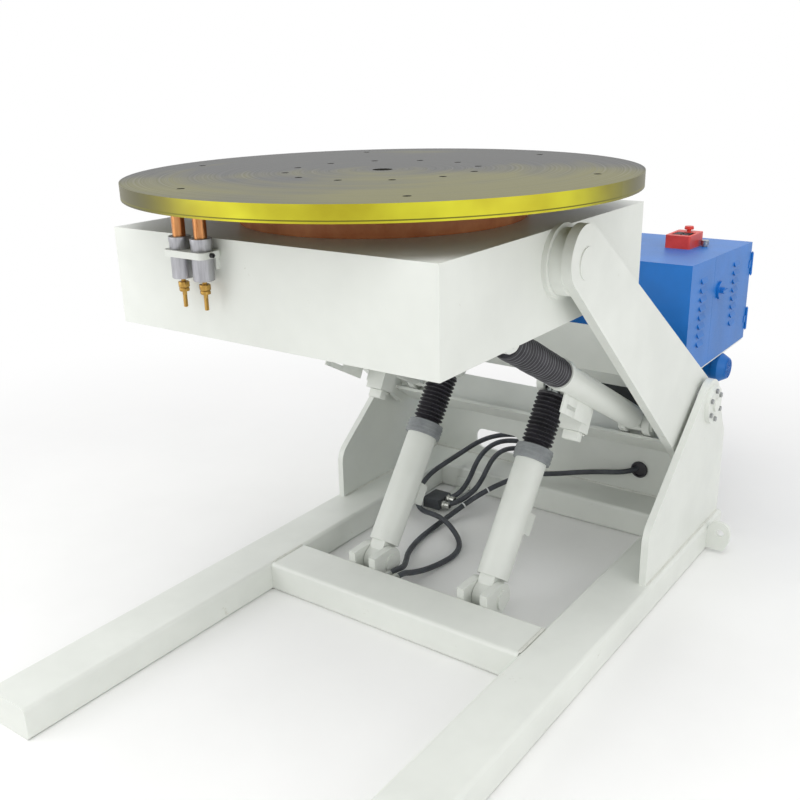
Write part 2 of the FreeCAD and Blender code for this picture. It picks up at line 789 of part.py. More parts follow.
# ---------------------------------------------------------------- earthing brushes
def brush_clamp():
    """Lobed clamp plate bolted to the front plate of the box."""
    face = -box_front_reach
    y = face - brush_standoff
    low, high = brush_clamp_z - 9, brush_clamp_z + 9
    lobe = brush_tube_radius + 13
    plate = plate_z(rectangle(brush_x[0] - lobe, brush_x[1] + lobe, y - lobe, face, 16), low, high)
    foot = box((brush_x[0] - 20, face - 12, low - 34), (brush_x[1] + 20, face, low))
    for x in brush_x:
        plate = plate.cut(rod(brush_tube_radius, (x, y, low), (0, 0, 1), high - low))
    return fused(plate, foot.cut(box((brush_x[0] - 1, face - 12, low - 34), (brush_x[1] + 1, face - 11, low))))


def brush_holders():
    y = -box_front_reach - brush_standoff
    return [ring(brush_tube_radius, brush_rod_radius + running_gap, (x, y, brush_clamp_z - brush_tube_length / 2.0),
                 (0, 0, 1), brush_tube_length) for x in brush_x]


def brush_rods():
    """Sprung copper rods that bear on the faceplate's underside, with their nuts and studs below."""
    y = -box_front_reach - brush_standoff
    rods = []
    for x in brush_x:
        tip = table_bottom - seat_gap
        low = brush_clamp_z - brush_tube_length / 2.0 - brush_nut_gap
        stem = rod(brush_rod_radius, (x, y, low), (0, 0, 1), tip - low)
        nut = hexagon_head(brush_nut_radius, (x, y, low - brush_nut_height), (0, 0, 1), brush_nut_height)
        stud = rod(brush_stud_radius, (x, y, low - brush_nut_height - brush_stud_length), (0, 0, 1),
                   brush_stud_length)
        rods.append(fused(stem, nut, stud))
    return rods


# ---------------------------------------------------------------- power unit
def power_frame():
    """Posts behind the rear wall with a platform under the cabinet and tank."""
    y0 = rear_beam_rear
    x = cabinet_low_x
    post = box((x, y0, tube_wall), (x + frame_tube, y0 + frame_tube, cabinet_floor - 60))
    rail = box((x, cabinet_front + 20, cabinet_floor - 60), (x + frame_tube, cabinet_rear - 40, deck_bottom()))
    deck = box((cabinet_low_x, cabinet_front + 10, deck_bottom()), (cabinet_high_x, cabinet_rear - 10, cabinet_floor))
    return fused(post, rail, deck)


def cabinet_outline(y0, y1, z0, roof_drop):
    """Side outline of the cabinet, whose roof falls towards the rear."""
    slope = cabinet_roof_fall / cabinet_length
    return [(y0, z0, 0), (y1, z0, 0), (y1, cabinet_top - roof_drop - slope * (y1 - cabinet_front), 0),
            (y0, cabinet_top - roof_drop - slope * (y0 - cabinet_front), 0)]


def cabinet_block():
    return plate_x(cabinet_outline(cabinet_front, cabinet_rear, cabinet_floor, 0), cabinet_low_x, cabinet_high_x)


def cabinet_shell():
    sheet = cabinet_sheet
    inner = plate_x(cabinet_outline(cabinet_front + sheet, cabinet_rear - sheet, cabinet_floor + sheet, sheet),
                    cabinet_low_x + sheet, cabinet_high_x + 1)
    panel = louvred_sheet(cabinet_front, door_front() - door_seam, louvre_share[0], cabinet_high_x)
    return fused(cabinet_block().cut(inner), panel, *fixed_hinges())


def door_front():
    """The door stops behind the arm plate, which would be in the way of a full-width one."""
    return cabinet_front + door_front_share * cabinet_length


def louvred_sheet(y0, y1, share, x0):
    """Sheet on the cabinet's right side with one column of louvres, each a slot under a pressed hood."""
    x1 = cabinet_high_x + seat_gap + cabinet_sheet
    sheet = plate_x(cabinet_outline(y0, y1, cabinet_floor, 0), x0, x1)
    half = louvre_length / 2.0
    y = cabinet_front + share * cabinet_length
    hoods = []
    slots = []
    for i in range(louvre_count):
        z = cabinet_top - louvre_first_drop - i * louvre_pitch
        slots.append(box((x0, y - half + 3, z), (x1, y + half - 3, z + louvre_slot)))
        outline = [(x1, z + louvre_slot + 12), (x1 + louvre_rise, z + 2), (x1 + louvre_rise - 2, z),
                   (x1, z + louvre_slot)]
        hoods.append(prism_y(outline, y - half, y + half))
    return sheet.cut(slots).fuse(hoods)


def cabinet_door():
    """Louvred door behind the fixed panel, with the middle knuckle of each hinge."""
    x0 = cabinet_high_x + seat_gap
    door = louvred_sheet(door_front(), cabinet_rear - door_hinge_gap, louvre_share[1], x0)
    x, y = hinge_axis()
    leaves = []
    for z in hinge_heights:
        leaves.append(box((x0 + cabinet_sheet, y - hinge_leaf, z + seat_gap),
                          (x, y, z + hinge_knuckle - seat_gap)))
        leaves.append(hinge_barrel(z + seat_gap, z + hinge_knuckle - seat_gap))
    pin = rod(hinge_pin_radius + running_gap, (x, y, cabinet_floor), (0, 0, 1), cabinet_height)
    return door.fuse(leaves).cut(pin).removeSplitter()


def hinge_axis():
    return (cabinet_high_x + 2 * cabinet_sheet, cabinet_rear + door_hinge_gap)


def hinge_barrel(z0, z1):
    return rod(hinge_radius, (*hinge_axis(), z0), (0, 0, 1), z1 - z0)


def fixed_hinges():
    """Knuckles above and below the door's own, welded to the cabinet's rear, with the pin through them."""
    x, y = hinge_axis()
    pieces = []
    for z in hinge_heights:
        for low in (z - hinge_knuckle, z + hinge_knuckle):
            pieces.append(box((x - hinge_leaf, cabinet_rear, low), (x, y - 0.5, low + hinge_knuckle)))
            pieces.append(hinge_barrel(low, low + hinge_knuckle))
        pieces.append(rod(hinge_pin_radius, (x, y, z - hinge_knuckle - 4), (0, 0, 1), 3 * hinge_knuckle + 8))
    return pieces


def prism_y(outline, y0, y1):
    points = [V(x, y0, z) for x, z in outline]
    return Part.Face(Part.makePolygon(points + [points[0]])).extrude(V(0, y1 - y0, 0))


def latch():
    """Round quarter-turn latch with two raised wings."""
    x1 = cabinet_high_x + seat_gap + cabinet_sheet + seat_gap
    y, z = latch_place()
    dish = x_rod(34, (y, z), x1, x1 + 8)
    hub = x_rod(12, (y, z), x1 + 8, x1 + 22)
    wings = box((x1 + 8, y - 28, z - 4), (x1 + 24, y + 28, z + 4))
    return fused(dish, hub, wings)


def latch_place():
    return (cabinet_front + 0.46 * cabinet_length, cabinet_top - latch_drop)


def oil_tank():
    """Tank hung under the deck beside the pump motor."""
    return box((tank_low_x, tank_front, deck_bottom() - tank_height), (tank_high_x, tank_rear, deck_bottom()))


def deck_bottom():
    return cabinet_floor - deck_thickness


def pump_motor():
    """Motor under the cabinet with its fan cowl looking out on the right."""
    low = motor_front_x - motor_length
    body = x_rod(motor_radius, (motor_y, motor_z), low, motor_front_x)
    rim = motor_radius + 4
    points = [V(0, 0, 0), V(rim, 0, 0), V(rim, 0, cowl_length * 0.45), V(rim - 16, 0, cowl_length),
              V(0, 0, cowl_length), V(0, 0, 0)]
    cowl = Part.Face(Part.makePolygon(points)).revolve(V(0, 0, 0), V(0, 0, 1), 360)
    cowl.Placement = FreeCAD.Placement(V(motor_front_x, motor_y, motor_z), FreeCAD.Rotation(V(0, 0, 1), V(1, 0, 0)))
    foot = box((low + motor_length * 0.25, motor_y - motor_radius + 12, motor_z),
               (low + motor_length * 0.6, motor_y + motor_radius - 12, deck_bottom()))
    return [fused(body, foot), cowl]


def pendant_body():
    """Pendant box lying on the sloping roof, with a sunk key tray."""
    x0, y0 = pendant_corner
    body = plate_z(rectangle(x0, x0 + pendant_width, y0, y0 + pendant_length, 8), cabinet_top - cabinet_roof_fall,
                   pendant_top)
    tray = box((x0 + 12, y0 + 26, pendant_top - key_height), (x0 + pendant_width - 12, y0 + 100, pendant_top))
    depth = stop_travel + 2
    stem_hole = rod(stop_stem_radius + stem_gap, (*stop_place(), pendant_top - depth), (0, 0, 1), depth)
    return body.cut([tray, stem_hole, cabinet_block()])


def stop_place():
    return (pendant_corner[0] + pendant_width / 2.0, pendant_corner[1] + 124)


def pendant_keypad():
    x0, y0 = pendant_corner
    return [box((x0 + 18 + 34 * i, y0 + 32 + 22 * j, pendant_top - key_height),
                (x0 + 46 + 34 * i, y0 + 48 + 22 * j, pendant_top)) for i in range(2) for j in range(3)]


def pendant_stop():
    x, y = stop_place()
    head = rod(stop_head_radius, (x, y, pendant_top + stop_travel + seat_gap), (0, 0, 1), 12)
    low = pendant_top - stem_gap
    stem = rod(stop_stem_radius, (x, y, low), (0, 0, 1), stop_travel + 2)
    return fused(head, stem)


def breather():
    x, y = breather_place
    neck = rod(10, (x, y, cabinet_top - cabinet_roof_fall), (0, 0, 1), cabinet_roof_fall - 6)
    return fused(neck.cut(cabinet_block()), rod(16, (x, y, cabinet_top - 6), (0, 0, 1), 18))


# ---------------------------------------------------------------- write every piece
def build():
    right_leg = leg_beam()
    write("right_leg_beam", *right_leg)
    write("left_leg_beam", *[mirrored(shape) for shape in right_leg])
    write("front_cross_beam", front_beam())
    write("rear_cross_beam", cross_beam(rear_beam_front, rear_beam_rear))
    write("rear_wall", rear_wall())
    write("right_upright", upright())
    write("left_upright", mirrored(upright()))
    write("lift_foot_pins", *foot_pins(lift_foot, (-lift_cylinder_x, lift_cylinder_x)))
    write("lift_pivot_pins", *both_sides(pivot_pin()))
    write("pivot_end_caps", *both_sides(pivot_cap()))
    write("pivot_cap_bolts", *[side for bolt in pivot_bolts() for side in both_sides(bolt)])
    write("right_arm_plate", arm_plate())
    write("left_arm_plate", mirrored(arm_plate()))
    write("pivot_bushes", *both_sides(pivot_bush()))
    write("upper_cross_beam", upper_beam())
    write("lower_cross_beam", lower_beam())
    write("lift_eye_pin_ends", *rod_eye_pin_ends(lift_eye, (-lift_cylinder_x, lift_cylinder_x)))
    write("tilt_foot_pins", *foot_pins(tilt_foot, (-tilt_cylinder_x, tilt_cylinder_x)))
    write("tilt_trunnions", *both_sides(trunnion()))
    write("tilt_box_shell", tilt_box(), *tilt_rod_ears())
    write("tilt_eye_pin_ends", *tilt_pin_ends())
    write("trunnion_bearings", *both_sides(trunnion_bearing()))
    write("slewing_inner_ring", slewing_inner_ring())
    write("slewing_ring_gear", ring_gear())
    write("drive_pinion", pinion())
    write("rotation_gearmotor", rotation_drive())
    write("table_faceplate", faceplate())
    for name, x in (("right", lift_cylinder_x), ("left", -lift_cylinder_x)):
        lift_cylinder(name, x)
    for name, x in (("right", tilt_cylinder_x), ("left", -tilt_cylinder_x)):
        tilt_cylinder(name, x)
    write("brush_clamp", brush_clamp())
    write("brush_holders", *brush_holders())
    write("brush_rods", *brush_rods())
    write("power_unit_frame", power_frame())
    write("oil_tank", oil_tank())
    write("pump_motor", *pump_motor())
    write("cabinet_shell", cabinet_shell())
    write("cabinet_door", cabinet_door())
    write("cabinet_latch", latch())
    write("pendant_body", pendant_body())
    write("pendant_keypad", *pendant_keypad())
    write("pendant_stop", pendant_stop())
    write("breather_cap", breather())


build()
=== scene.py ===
import json
import math
import random

import bpy
from mathutils import Matrix, Vector


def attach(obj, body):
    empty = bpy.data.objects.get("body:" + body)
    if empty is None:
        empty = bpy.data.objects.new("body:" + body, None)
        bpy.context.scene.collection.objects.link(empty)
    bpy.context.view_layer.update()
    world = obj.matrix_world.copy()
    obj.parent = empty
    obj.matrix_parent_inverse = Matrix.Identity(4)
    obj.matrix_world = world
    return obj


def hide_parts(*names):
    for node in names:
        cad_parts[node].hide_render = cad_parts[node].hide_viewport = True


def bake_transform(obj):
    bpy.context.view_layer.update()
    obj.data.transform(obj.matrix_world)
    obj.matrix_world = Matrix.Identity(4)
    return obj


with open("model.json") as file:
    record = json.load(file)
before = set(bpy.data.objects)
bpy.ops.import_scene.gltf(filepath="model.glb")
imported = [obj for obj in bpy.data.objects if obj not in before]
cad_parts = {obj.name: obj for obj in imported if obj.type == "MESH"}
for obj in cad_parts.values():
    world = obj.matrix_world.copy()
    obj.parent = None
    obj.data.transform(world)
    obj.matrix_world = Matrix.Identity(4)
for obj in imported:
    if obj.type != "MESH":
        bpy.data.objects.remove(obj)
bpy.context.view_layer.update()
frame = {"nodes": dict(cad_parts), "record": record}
print("frame loaded:", len(frame["nodes"]), "nodes")

# places shared by the pieces below, in metres: side-view pairs are (y, z)
liftFoot = (0.180, 0.086)
liftEye = (0.66797, 0.73176)
tiltFoot = (0.85037, 0.57653)
tiltEye = (-0.190, 1.139)
liftX = 0.237
tiltX = 0.480
tableCentre = (0.0, -0.040)
sides = {"right": 1, "left": -1}


# camera and light

camera = {
    "place": (1.7301, -2.3336, 1.8217),
    "yaw": math.radians(36.5596),
    "rise": math.radians(70.2467),
    "roll": math.radians(-1.4190),
    "lens": 42.857,
    "shift": (0.00438, 0.01339),
}
lens = bpy.data.cameras.new("standingCamera")
lens.lens = camera["lens"]
lens.sensor_width = 36.0
lens.shift_x, lens.shift_y = camera["shift"]
lens.clip_end = 60.0
eye = bpy.data.objects.new("standingCamera", lens)
bpy.context.scene.collection.objects.link(eye)
eye.matrix_world = (Matrix.Translation(camera["place"]) @ Matrix.Rotation(camera["yaw"], 4, "Z")
                    @ Matrix.Rotation(camera["rise"], 4, "X") @ Matrix.Rotation(camera["roll"], 4, "Z"))
bpy.context.scene.camera = eye
bpy.context.scene.view_settings.view_transform = "Standard"

softBoxes = {
    # name: (place, aim, size, watts)
    "overheadSoftBox": ((0.4, -1.2, 4.6), (0.0, 0.2, 0.8), 3.6, 78),
    "frontSoftBox": ((-2.6, -3.6, 2.2), (0.0, 0.0, 0.8), 2.6, 46),
    "sideSoftBox": ((4.2, -0.6, 2.0), (0.2, 0.6, 0.8), 2.2, 26),
}
for name, (place, aim, size, watts) in softBoxes.items():
    lamp = bpy.data.lights.new(name, "AREA")
    lamp.shape = "SQUARE"
    lamp.size = size
    lamp.energy = watts
    holder = bpy.data.objects.new(name, lamp)
    bpy.context.scene.collection.objects.link(holder)
    holder.location = place
    holder.rotation_euler = (Vector(aim) - Vector(place)).to_track_quat("-Z", "Y").to_euler()
print("camera and soft boxes placed")


# small helpers

def linear(hexColour):
    # sRGB hex to linear
    parts = [int(hexColour[i:i + 2], 16) / 255 for i in (1, 3, 5)]
    return [c / 12.92 if c <= 0.04045 else ((c + 0.055) / 1.055) ** 2.4 for c in parts] + [1.0]


def addNode(tree, kind, settings=None, links=None, ramp=()):
    # a ramp is (position, hex colour) for each of its two ends
    node = tree.nodes.new(kind)
    plain = {key: value for key, value in (settings or {}).items()
             if isinstance(key, str) and hasattr(node, key)}
    for key, value in plain.items():
        setattr(node, key, value)
    for key, value in (settings or {}).items():
        if key not in plain:
            node.inputs[key].default_value = value
    for key, source in (links or {}).items():
        tree.links.new(source, node.inputs[key])
    for i, (position, colour) in enumerate(ramp):
        node.color_ramp.elements[i].position = position
        node.color_ramp.elements[i].color = linear(colour)
    return node


def emptyMaterial(name):
    material = bpy.data.materials.new(name)
    material.use_nodes = True
    tree = material.node_tree
    tree.nodes.clear()
    place = addNode(tree, "ShaderNodeTexCoord").outputs["Object"]
    shader = addNode(tree, "ShaderNodeBsdfPrincipled")
    output = addNode(tree, "ShaderNodeOutputMaterial")
    tree.links.new(shader.outputs["BSDF"], output.inputs["Surface"])
    return material, tree, place, shader


# noise spreads round 0.5: where a blend that it drives starts and ends
noiseSpan = {"drift": (0.32, 0.68), "grain": (0.3, 0.7), "speck": (0.66, 0.74)}


def coatedFinish(name, look):
    # paint, plating, casting or moulding: broad colour drift, fine grain in gloss and relief, rubbed specks
    material, tree, place, shader = emptyMaterial(name)
    drift = addNode(tree, "ShaderNodeTexNoise",
                    {"Scale": 1000 / look["driftMm"], "Detail": 4.0, "Roughness": 0.6},
                    {"Vector": place}).outputs["Fac"]
    grain = addNode(tree, "ShaderNodeTexNoise", {"Scale": 1000 / look["grainMm"], "Detail": 3.0},
                    {"Vector": place}).outputs["Fac"]
    colour = addNode(tree, "ShaderNodeValToRGB", {}, {"Fac": drift},
                     zip(noiseSpan["drift"], (look["dark"], look["light"]))).outputs["Color"]
    if look.get("speck"):
        spots = addNode(tree, "ShaderNodeTexNoise", {"Scale": 1000 / look["speckMm"], "Detail": 6.0,
                                                     "Roughness": 0.75}, {"Vector": place}).outputs["Fac"]
        where = addNode(tree, "ShaderNodeMapRange",
                        {"From Min": noiseSpan["speck"][0], "From Max": noiseSpan["speck"][1],
                         "To Max": 0.55},
                        {"Value": spots}).outputs["Result"]
        mixed = addNode(tree, "ShaderNodeMix", {"data_type": "RGBA", 7: linear(look["speck"])},
                        {0: where, 6: colour})
        colour = mixed.outputs[2]
    tree.links.new(colour, shader.inputs["Base Color"])
    gloss = addNode(tree, "ShaderNodeMapRange",
                    {"From Min": noiseSpan["grain"][0], "From Max": noiseSpan["grain"][1],
                     "To Min": look["rough"][0], "To Max": look["rough"][1]}, {"Value": grain})
    tree.links.new(gloss.outputs["Result"], shader.inputs["Roughness"])
    relief = addNode(tree, "ShaderNodeBump",
                     {"Strength": look["relief"], "Distance": look["reliefMm"] / 1000}, {"Height": grain})
    tree.links.new(relief.outputs["Normal"], shader.inputs["Normal"])
    shader.inputs["Metallic"].default_value = look.get("metal", 0.0)
    if not look.get("metal"):
        shader.inputs["IOR"].default_value = look.get("ior", 1.5)
    return material


def drawnFinish(name, look):
    # bar or rod stock: grain stretched along one axis, as grinding and drawing leave it
    material, tree, place, shader = emptyMaterial(name)
    stretched = addNode(tree, "ShaderNodeMapping", {"Scale": look["stretch"]},
                        {"Vector": place}).outputs["Vector"]
    lines = addNode(tree, "ShaderNodeTexNoise", {"Scale": 1000 / look["lineMm"], "Detail": 3.0},
                    {"Vector": stretched}).outputs["Fac"]
    colour = addNode(tree, "ShaderNodeValToRGB", {}, {"Fac": lines},
                     zip(noiseSpan["grain"], (look["dark"], look["light"]))).outputs["Color"]
    tree.links.new(colour, shader.inputs["Base Color"])
    gloss = addNode(tree, "ShaderNodeMapRange",
                    {"From Min": noiseSpan["grain"][0], "From Max": noiseSpan["grain"][1],
                     "To Min": look["rough"][0], "To Max": look["rough"][1]}, {"Value": lines})
    tree.links.new(gloss.outputs["Result"], shader.inputs["Roughness"])
    relief = addNode(tree, "ShaderNodeBump", {"Strength": 0.15, "Distance": 0.0002}, {"Height": lines})
    tree.links.new(relief.outputs["Normal"], shader.inputs["Normal"])
    shader.inputs["Metallic"].default_value = 1.0
    return material


# finishes

def turnedFaceplate():
    # steel plate faced on a vertical lathe and passivated: fine rings, grey-olive top with a painted olive
    # sheen towards the front, yellow rim with painted shade to either side
    look = {
        "ringMm": 7.0, "circles": (0.618, 0.489, 0.360, 0.180), "scribeMm": 2.6, "scribe": "#4A4A42",
        "top": ("#40413F", "#6E6A28"), "topOver": (0.62, 0.90), "ringTint": ("#B9B9B9", "#FFFFFF"),
        "sheenTowards": (0.50, -0.86, 0.0), "sheenOver": (-0.15, 0.60),
        "rim": ("#AFA41C", "#CFCB2E"), "rimOver": (0.34, 0.66), "rimFrom": 0.74,
        "rimShade": "#5B5730", "rimShadeAcross": (0.803, 0.596, 0.0),
        "rimShadeOver": (0.38, 0.66), "bore": "#34342F", "lipZ": 1.5065, "lipMm": 3.2, "lip": "#6E6A14",
        "rough": (0.34, 0.52), "metal": 0.55,
    }
    material, tree, place, shader = emptyMaterial("faceplateTurnedSteel")
    centred = addNode(tree, "ShaderNodeMapping",
                      {"Location": (0.0, -tableCentre[1], 0.0), "Scale": (1, 1, 0)},
                      {"Vector": place}).outputs["Vector"]
    radius = addNode(tree, "ShaderNodeVectorMath", {"operation": "LENGTH"}, {0: centred}).outputs["Value"]
    along = addNode(tree, "ShaderNodeCombineXYZ", {}, {"X": radius}).outputs["Vector"]
    # real feed marks are about 0.4 mm, drawn coarser to show
    rings = addNode(tree, "ShaderNodeTexNoise",
                    {"Scale": 1000 / look["ringMm"], "Detail": 4.0, "Roughness": 0.7},
                    {"Vector": along}).outputs["Fac"]
    bands = addNode(tree, "ShaderNodeTexNoise", {"Scale": 14.0, "Detail": 2.0},
                    {"Vector": along}).outputs["Fac"]
    stain = addNode(tree, "ShaderNodeTexNoise", {"Scale": 1.6, "Detail": 3.0, "Roughness": 0.5},
                    {"Vector": place}).outputs["Fac"]
    mixedBands = addNode(tree, "ShaderNodeMath", {"operation": "MULTIPLY_ADD", 1: 0.45}, {0: bands, 2: stain})
    # painted sheen: the top turns more olive towards the front, on the camera's side, standing in for the
    # reflection there
    paintedSheen = addNode(tree, "ShaderNodeVectorMath", {"operation": "DOT_PRODUCT", 1: look["sheenTowards"]},
                     {0: place}).outputs["Value"]
    paintedSheen = addNode(tree, "ShaderNodeMapRange",
                     {"interpolation_type": "SMOOTHSTEP", "From Min": look["sheenOver"][0],
                      "From Max": look["sheenOver"][1], "To Min": -0.14, "To Max": 0.16},
                     {"Value": paintedSheen}).outputs["Result"]
    tone = addNode(tree, "ShaderNodeMath", {"operation": "ADD"}, {0: mixedBands.outputs["Value"], 1: paintedSheen})
    topColour = addNode(tree, "ShaderNodeValToRGB", {}, {"Fac": tone.outputs["Value"]},
                        zip(look["topOver"], look["top"])).outputs["Color"]
    ringTint = addNode(tree, "ShaderNodeValToRGB", {}, {"Fac": rings},
                       zip(noiseSpan["grain"], look["ringTint"])).outputs["Color"]
    top = addNode(tree, "ShaderNodeMix", {"data_type": "RGBA", "blend_type": "MULTIPLY", 0: 0.6},
                  {6: topColour, 7: ringTint}).outputs[2]
    marks = None
    for circle in look["circles"]:
        off = addNode(tree, "ShaderNodeMath", {"operation": "SUBTRACT", 1: circle}, {0: radius})
        near = addNode(tree, "ShaderNodeMath", {"operation": "ABSOLUTE"}, {0: off.outputs["Value"]})
        mark = addNode(tree, "ShaderNodeMath", {"operation": "LESS_THAN", 1: look["scribeMm"] / 2000},
                       {0: near.outputs["Value"]}).outputs["Value"]
        marks = mark if marks is None else addNode(tree, "ShaderNodeMath", {"operation": "MAXIMUM"},
                                                   {0: marks, 1: mark}).outputs["Value"]
    dark = addNode(tree, "ShaderNodeMath", {"operation": "MULTIPLY", 1: 0.6}, {0: marks}).outputs["Value"]
    top = addNode(tree, "ShaderNodeMix", {"data_type": "RGBA", 7: linear(look["scribe"])},
                  {0: dark, 6: top}).outputs[2]
    rimNoise = addNode(tree, "ShaderNodeTexNoise", {"Scale": 5.0, "Detail": 3.0},
                       {"Vector": place}).outputs["Fac"]
    rim = addNode(tree, "ShaderNodeValToRGB", {}, {"Fac": rimNoise},
                  zip(look["rimOver"], look["rim"])).outputs["Color"]
    height = addNode(tree, "ShaderNodeSeparateXYZ", {}, {"Vector": place}).outputs["Z"]
    # painted shade mask: grows towards both sides of the rim, away from the front
    aside = addNode(tree, "ShaderNodeVectorMath", {"operation": "DOT_PRODUCT", 1: look["rimShadeAcross"]},
                    {0: place}).outputs["Value"]
    aside = addNode(tree, "ShaderNodeMath", {"operation": "ABSOLUTE"}, {0: aside}).outputs["Value"]
    rimShade = addNode(tree, "ShaderNodeMapRange",
                   {"interpolation_type": "SMOOTHSTEP", "From Min": look["rimShadeOver"][0],
                    "From Max": look["rimShadeOver"][1]}, {"Value": aside})
    rim = addNode(tree, "ShaderNodeMix", {"data_type": "RGBA", 7: linear(look["rimShade"])},
                  {0: rimShade.outputs["Result"], 6: rim}).outputs[2]     # painted shade: the rim turns dark olive to either side, where it turns away from the light
    holeShadeMask = addNode(tree, "ShaderNodeMath", {"operation": "LESS_THAN", 1: look["rimFrom"]},
                    {0: radius}).outputs["Value"]
    rim = addNode(tree, "ShaderNodeMix", {"data_type": "RGBA", 7: linear(look["bore"])},
                  {0: holeShadeMask, 6: rim}).outputs[2]     # walls of the holes, painted near black as the shade inside them
    # painted shade: a thin darker line round the rim stands in for the shadow of a groove there
    lip = addNode(tree, "ShaderNodeMath", {"operation": "SUBTRACT", 1: look["lipZ"]}, {0: height})
    lip = addNode(tree, "ShaderNodeMath", {"operation": "ABSOLUTE"}, {0: lip.outputs["Value"]})
    lip = addNode(tree, "ShaderNodeMath", {"operation": "LESS_THAN", 1: look["lipMm"] / 2000},
                  {0: lip.outputs["Value"]})
    rim = addNode(tree, "ShaderNodeMix", {"data_type": "RGBA", 7: linear(look["lip"])},
                  {0: lip.outputs["Value"], 6: rim}).outputs[2]
    facing = addNode(tree, "ShaderNodeSeparateXYZ", {},
                     {"Vector": addNode(tree, "ShaderNodeTexCoord").outputs["Normal"]}).outputs["Z"]
    flat = addNode(tree, "ShaderNodeMath", {"operation": "ABSOLUTE"}, {0: facing})
    flat = addNode(tree, "ShaderNodeMath", {"operation": "GREATER_THAN", 1: 0.6}, {0: flat.outputs["Value"]})
    colour = addNode(tree, "ShaderNodeMix", {"data_type": "RGBA"}, {0: flat.outputs["Value"], 6: rim, 7: top})
    tree.links.new(colour.outputs[2], shader.inputs["Base Color"])
    gloss = addNode(tree, "ShaderNodeMapRange",
                    {"From Min": noiseSpan["grain"][0], "From Max": noiseSpan["grain"][1],
                     "To Min": look["rough"][0], "To Max": look["rough"][1]}, {"Value": rings})
    tree.links.new(gloss.outputs["Result"], shader.inputs["Roughness"])
    relief = addNode(tree, "ShaderNodeBump", {"Strength": 0.25, "Distance": 0.0006}, {"Height": rings})
    tree.links.new(relief.outputs["Normal"], shader.inputs["Normal"])
    shader.inputs["Metallic"].default_value = look["metal"]
    return material


finishes = {
    # two-pack enamel, sprayed over welded plate: satin off-white with faint grime and a little orange peel
    "grey_paint": coatedFinish("sprayedEnamelOffWhite", {
        "dark": "#DDE0DA", "light": "#E8EBE5", "driftMm": 420, "grainMm": 5.0, "rough": (0.34, 0.46),
        "relief": 0.10, "reliefMm": 0.25, "speck": "#BDBDAE", "speckMm": 60}),
    "table_steel": turnedFaceplate(),
    # orange-brown primer, brushed on the ring gear and its guard: dull, streaky
    "ring_primer": coatedFinish("brushedRedPrimer", {
        "dark": "#B4683C", "light": "#D08A5A", "driftMm": 90, "grainMm": 6.0, "rough": (0.50, 0.66),
        "relief": 0.2, "reliefMm": 0.3}),
    # bolts and pins, turned and ground: fine lines round a cool grey
    "bright_steel": drawnFinish("groundSteel", {
        "dark": "#8F9192", "light": "#B9BBBC", "lineMm": 6.0, "stretch": (0.15, 1, 1),
        "rough": (0.28, 0.42)}),
    # hard chrome, ground after plating: near mirror
    "chromed_rod": drawnFinish("hardChrome", {
        "dark": "#C9CCD0", "light": "#DDE0E3", "lineMm": 8.0, "stretch": (1, 0.2, 0.2),
        "rough": (0.10, 0.18)}),
    # sand casting under grey paint: grainy, soft highlights
    "cast_grey": coatedFinish("paintedSandCasting", {
        "dark": "#7F8386", "light": "#989C9E", "driftMm": 60, "grainMm": 4.0, "rough": (0.42, 0.60),
        "relief": 0.35, "reliefMm": 0.4}),
    # moulded nitrile rubber: near black, faint sheen
    "black_rubber": coatedFinish("mouldedNitrileRubber", {
        "dark": "#232226", "light": "#35333A", "driftMm": 45, "grainMm": 3.0, "rough": (0.46, 0.62),
        "relief": 0.15, "reliefMm": 0.2, "ior": 1.52}),
    # turned bronze nuts and studs: warm yellow with tool lines
    "bronze": drawnFinish("turnedBronze", {
        "dark": "#A07A3E", "light": "#C9A45A", "lineMm": 5.0, "stretch": (1, 1, 0.15),
        "rough": (0.30, 0.42)}),
    # aluminium tube, drawn along its length: pale satin
    "brush_aluminium": drawnFinish("milledAluminium", {
        "dark": "#A2A2A6", "light": "#BABABE", "lineMm": 5.0, "stretch": (1, 1, 0.1), "rough": (0.34, 0.46)}),
    # copper rod, drawn along its length: orange satin
    "brush_copper": drawnFinish("drawnCopperRod", {
        "dark": "#B4784A", "light": "#D39A68", "lineMm": 5.0, "stretch": (1, 1, 0.1), "rough": (0.26, 0.40)}),
    # powder coat on folded sheet: even blue with a fine pebble
    "cabinet_blue": coatedFinish("powderCoatBlue", {
        "dark": "#0467B6", "light": "#0874CC", "driftMm": 260, "grainMm": 3.5, "rough": (0.36, 0.46),
        "relief": 0.18, "reliefMm": 0.2}),
    # dark enamel on the tank and the hose blocks: even, half gloss
    "tank_grey": coatedFinish("paintedTankGrey", {
        "dark": "#2E3134", "light": "#3E4246", "driftMm": 120, "grainMm": 5.0, "rough": (0.44, 0.58),
        "relief": 0.15, "reliefMm": 0.25}),
    # injection moulded ABS, fine spark-eroded texture
    "pendant_red": coatedFinish("mouldedRedAbs", {
        "dark": "#D23A2E", "light": "#E8493D", "driftMm": 70, "grainMm": 2.5, "rough": (0.34, 0.46),
        "relief": 0.12, "reliefMm": 0.1, "ior": 1.53}),
    # moulded keys and blacked screws: dark, low gloss
    "key_black": coatedFinish("mouldedBlackKeys", {
        "dark": "#1C1C1F", "light": "#2A2A2E", "driftMm": 30, "grainMm": 2.5, "rough": (0.42, 0.55),
        "relief": 0.12, "reliefMm": 0.1}),
}
# nitrile rubber again, painted paler on the fold crests as a highlight
finishes["rubbedRubber"] = coatedFinish("nitrileCrestPaintedHighlight", {
    "dark": "#55565A", "light": "#6C6D71", "driftMm": 45, "grainMm": 3.0, "rough": (0.40, 0.52),
    "relief": 0.15, "reliefMm": 0.2, "ior": 1.52})
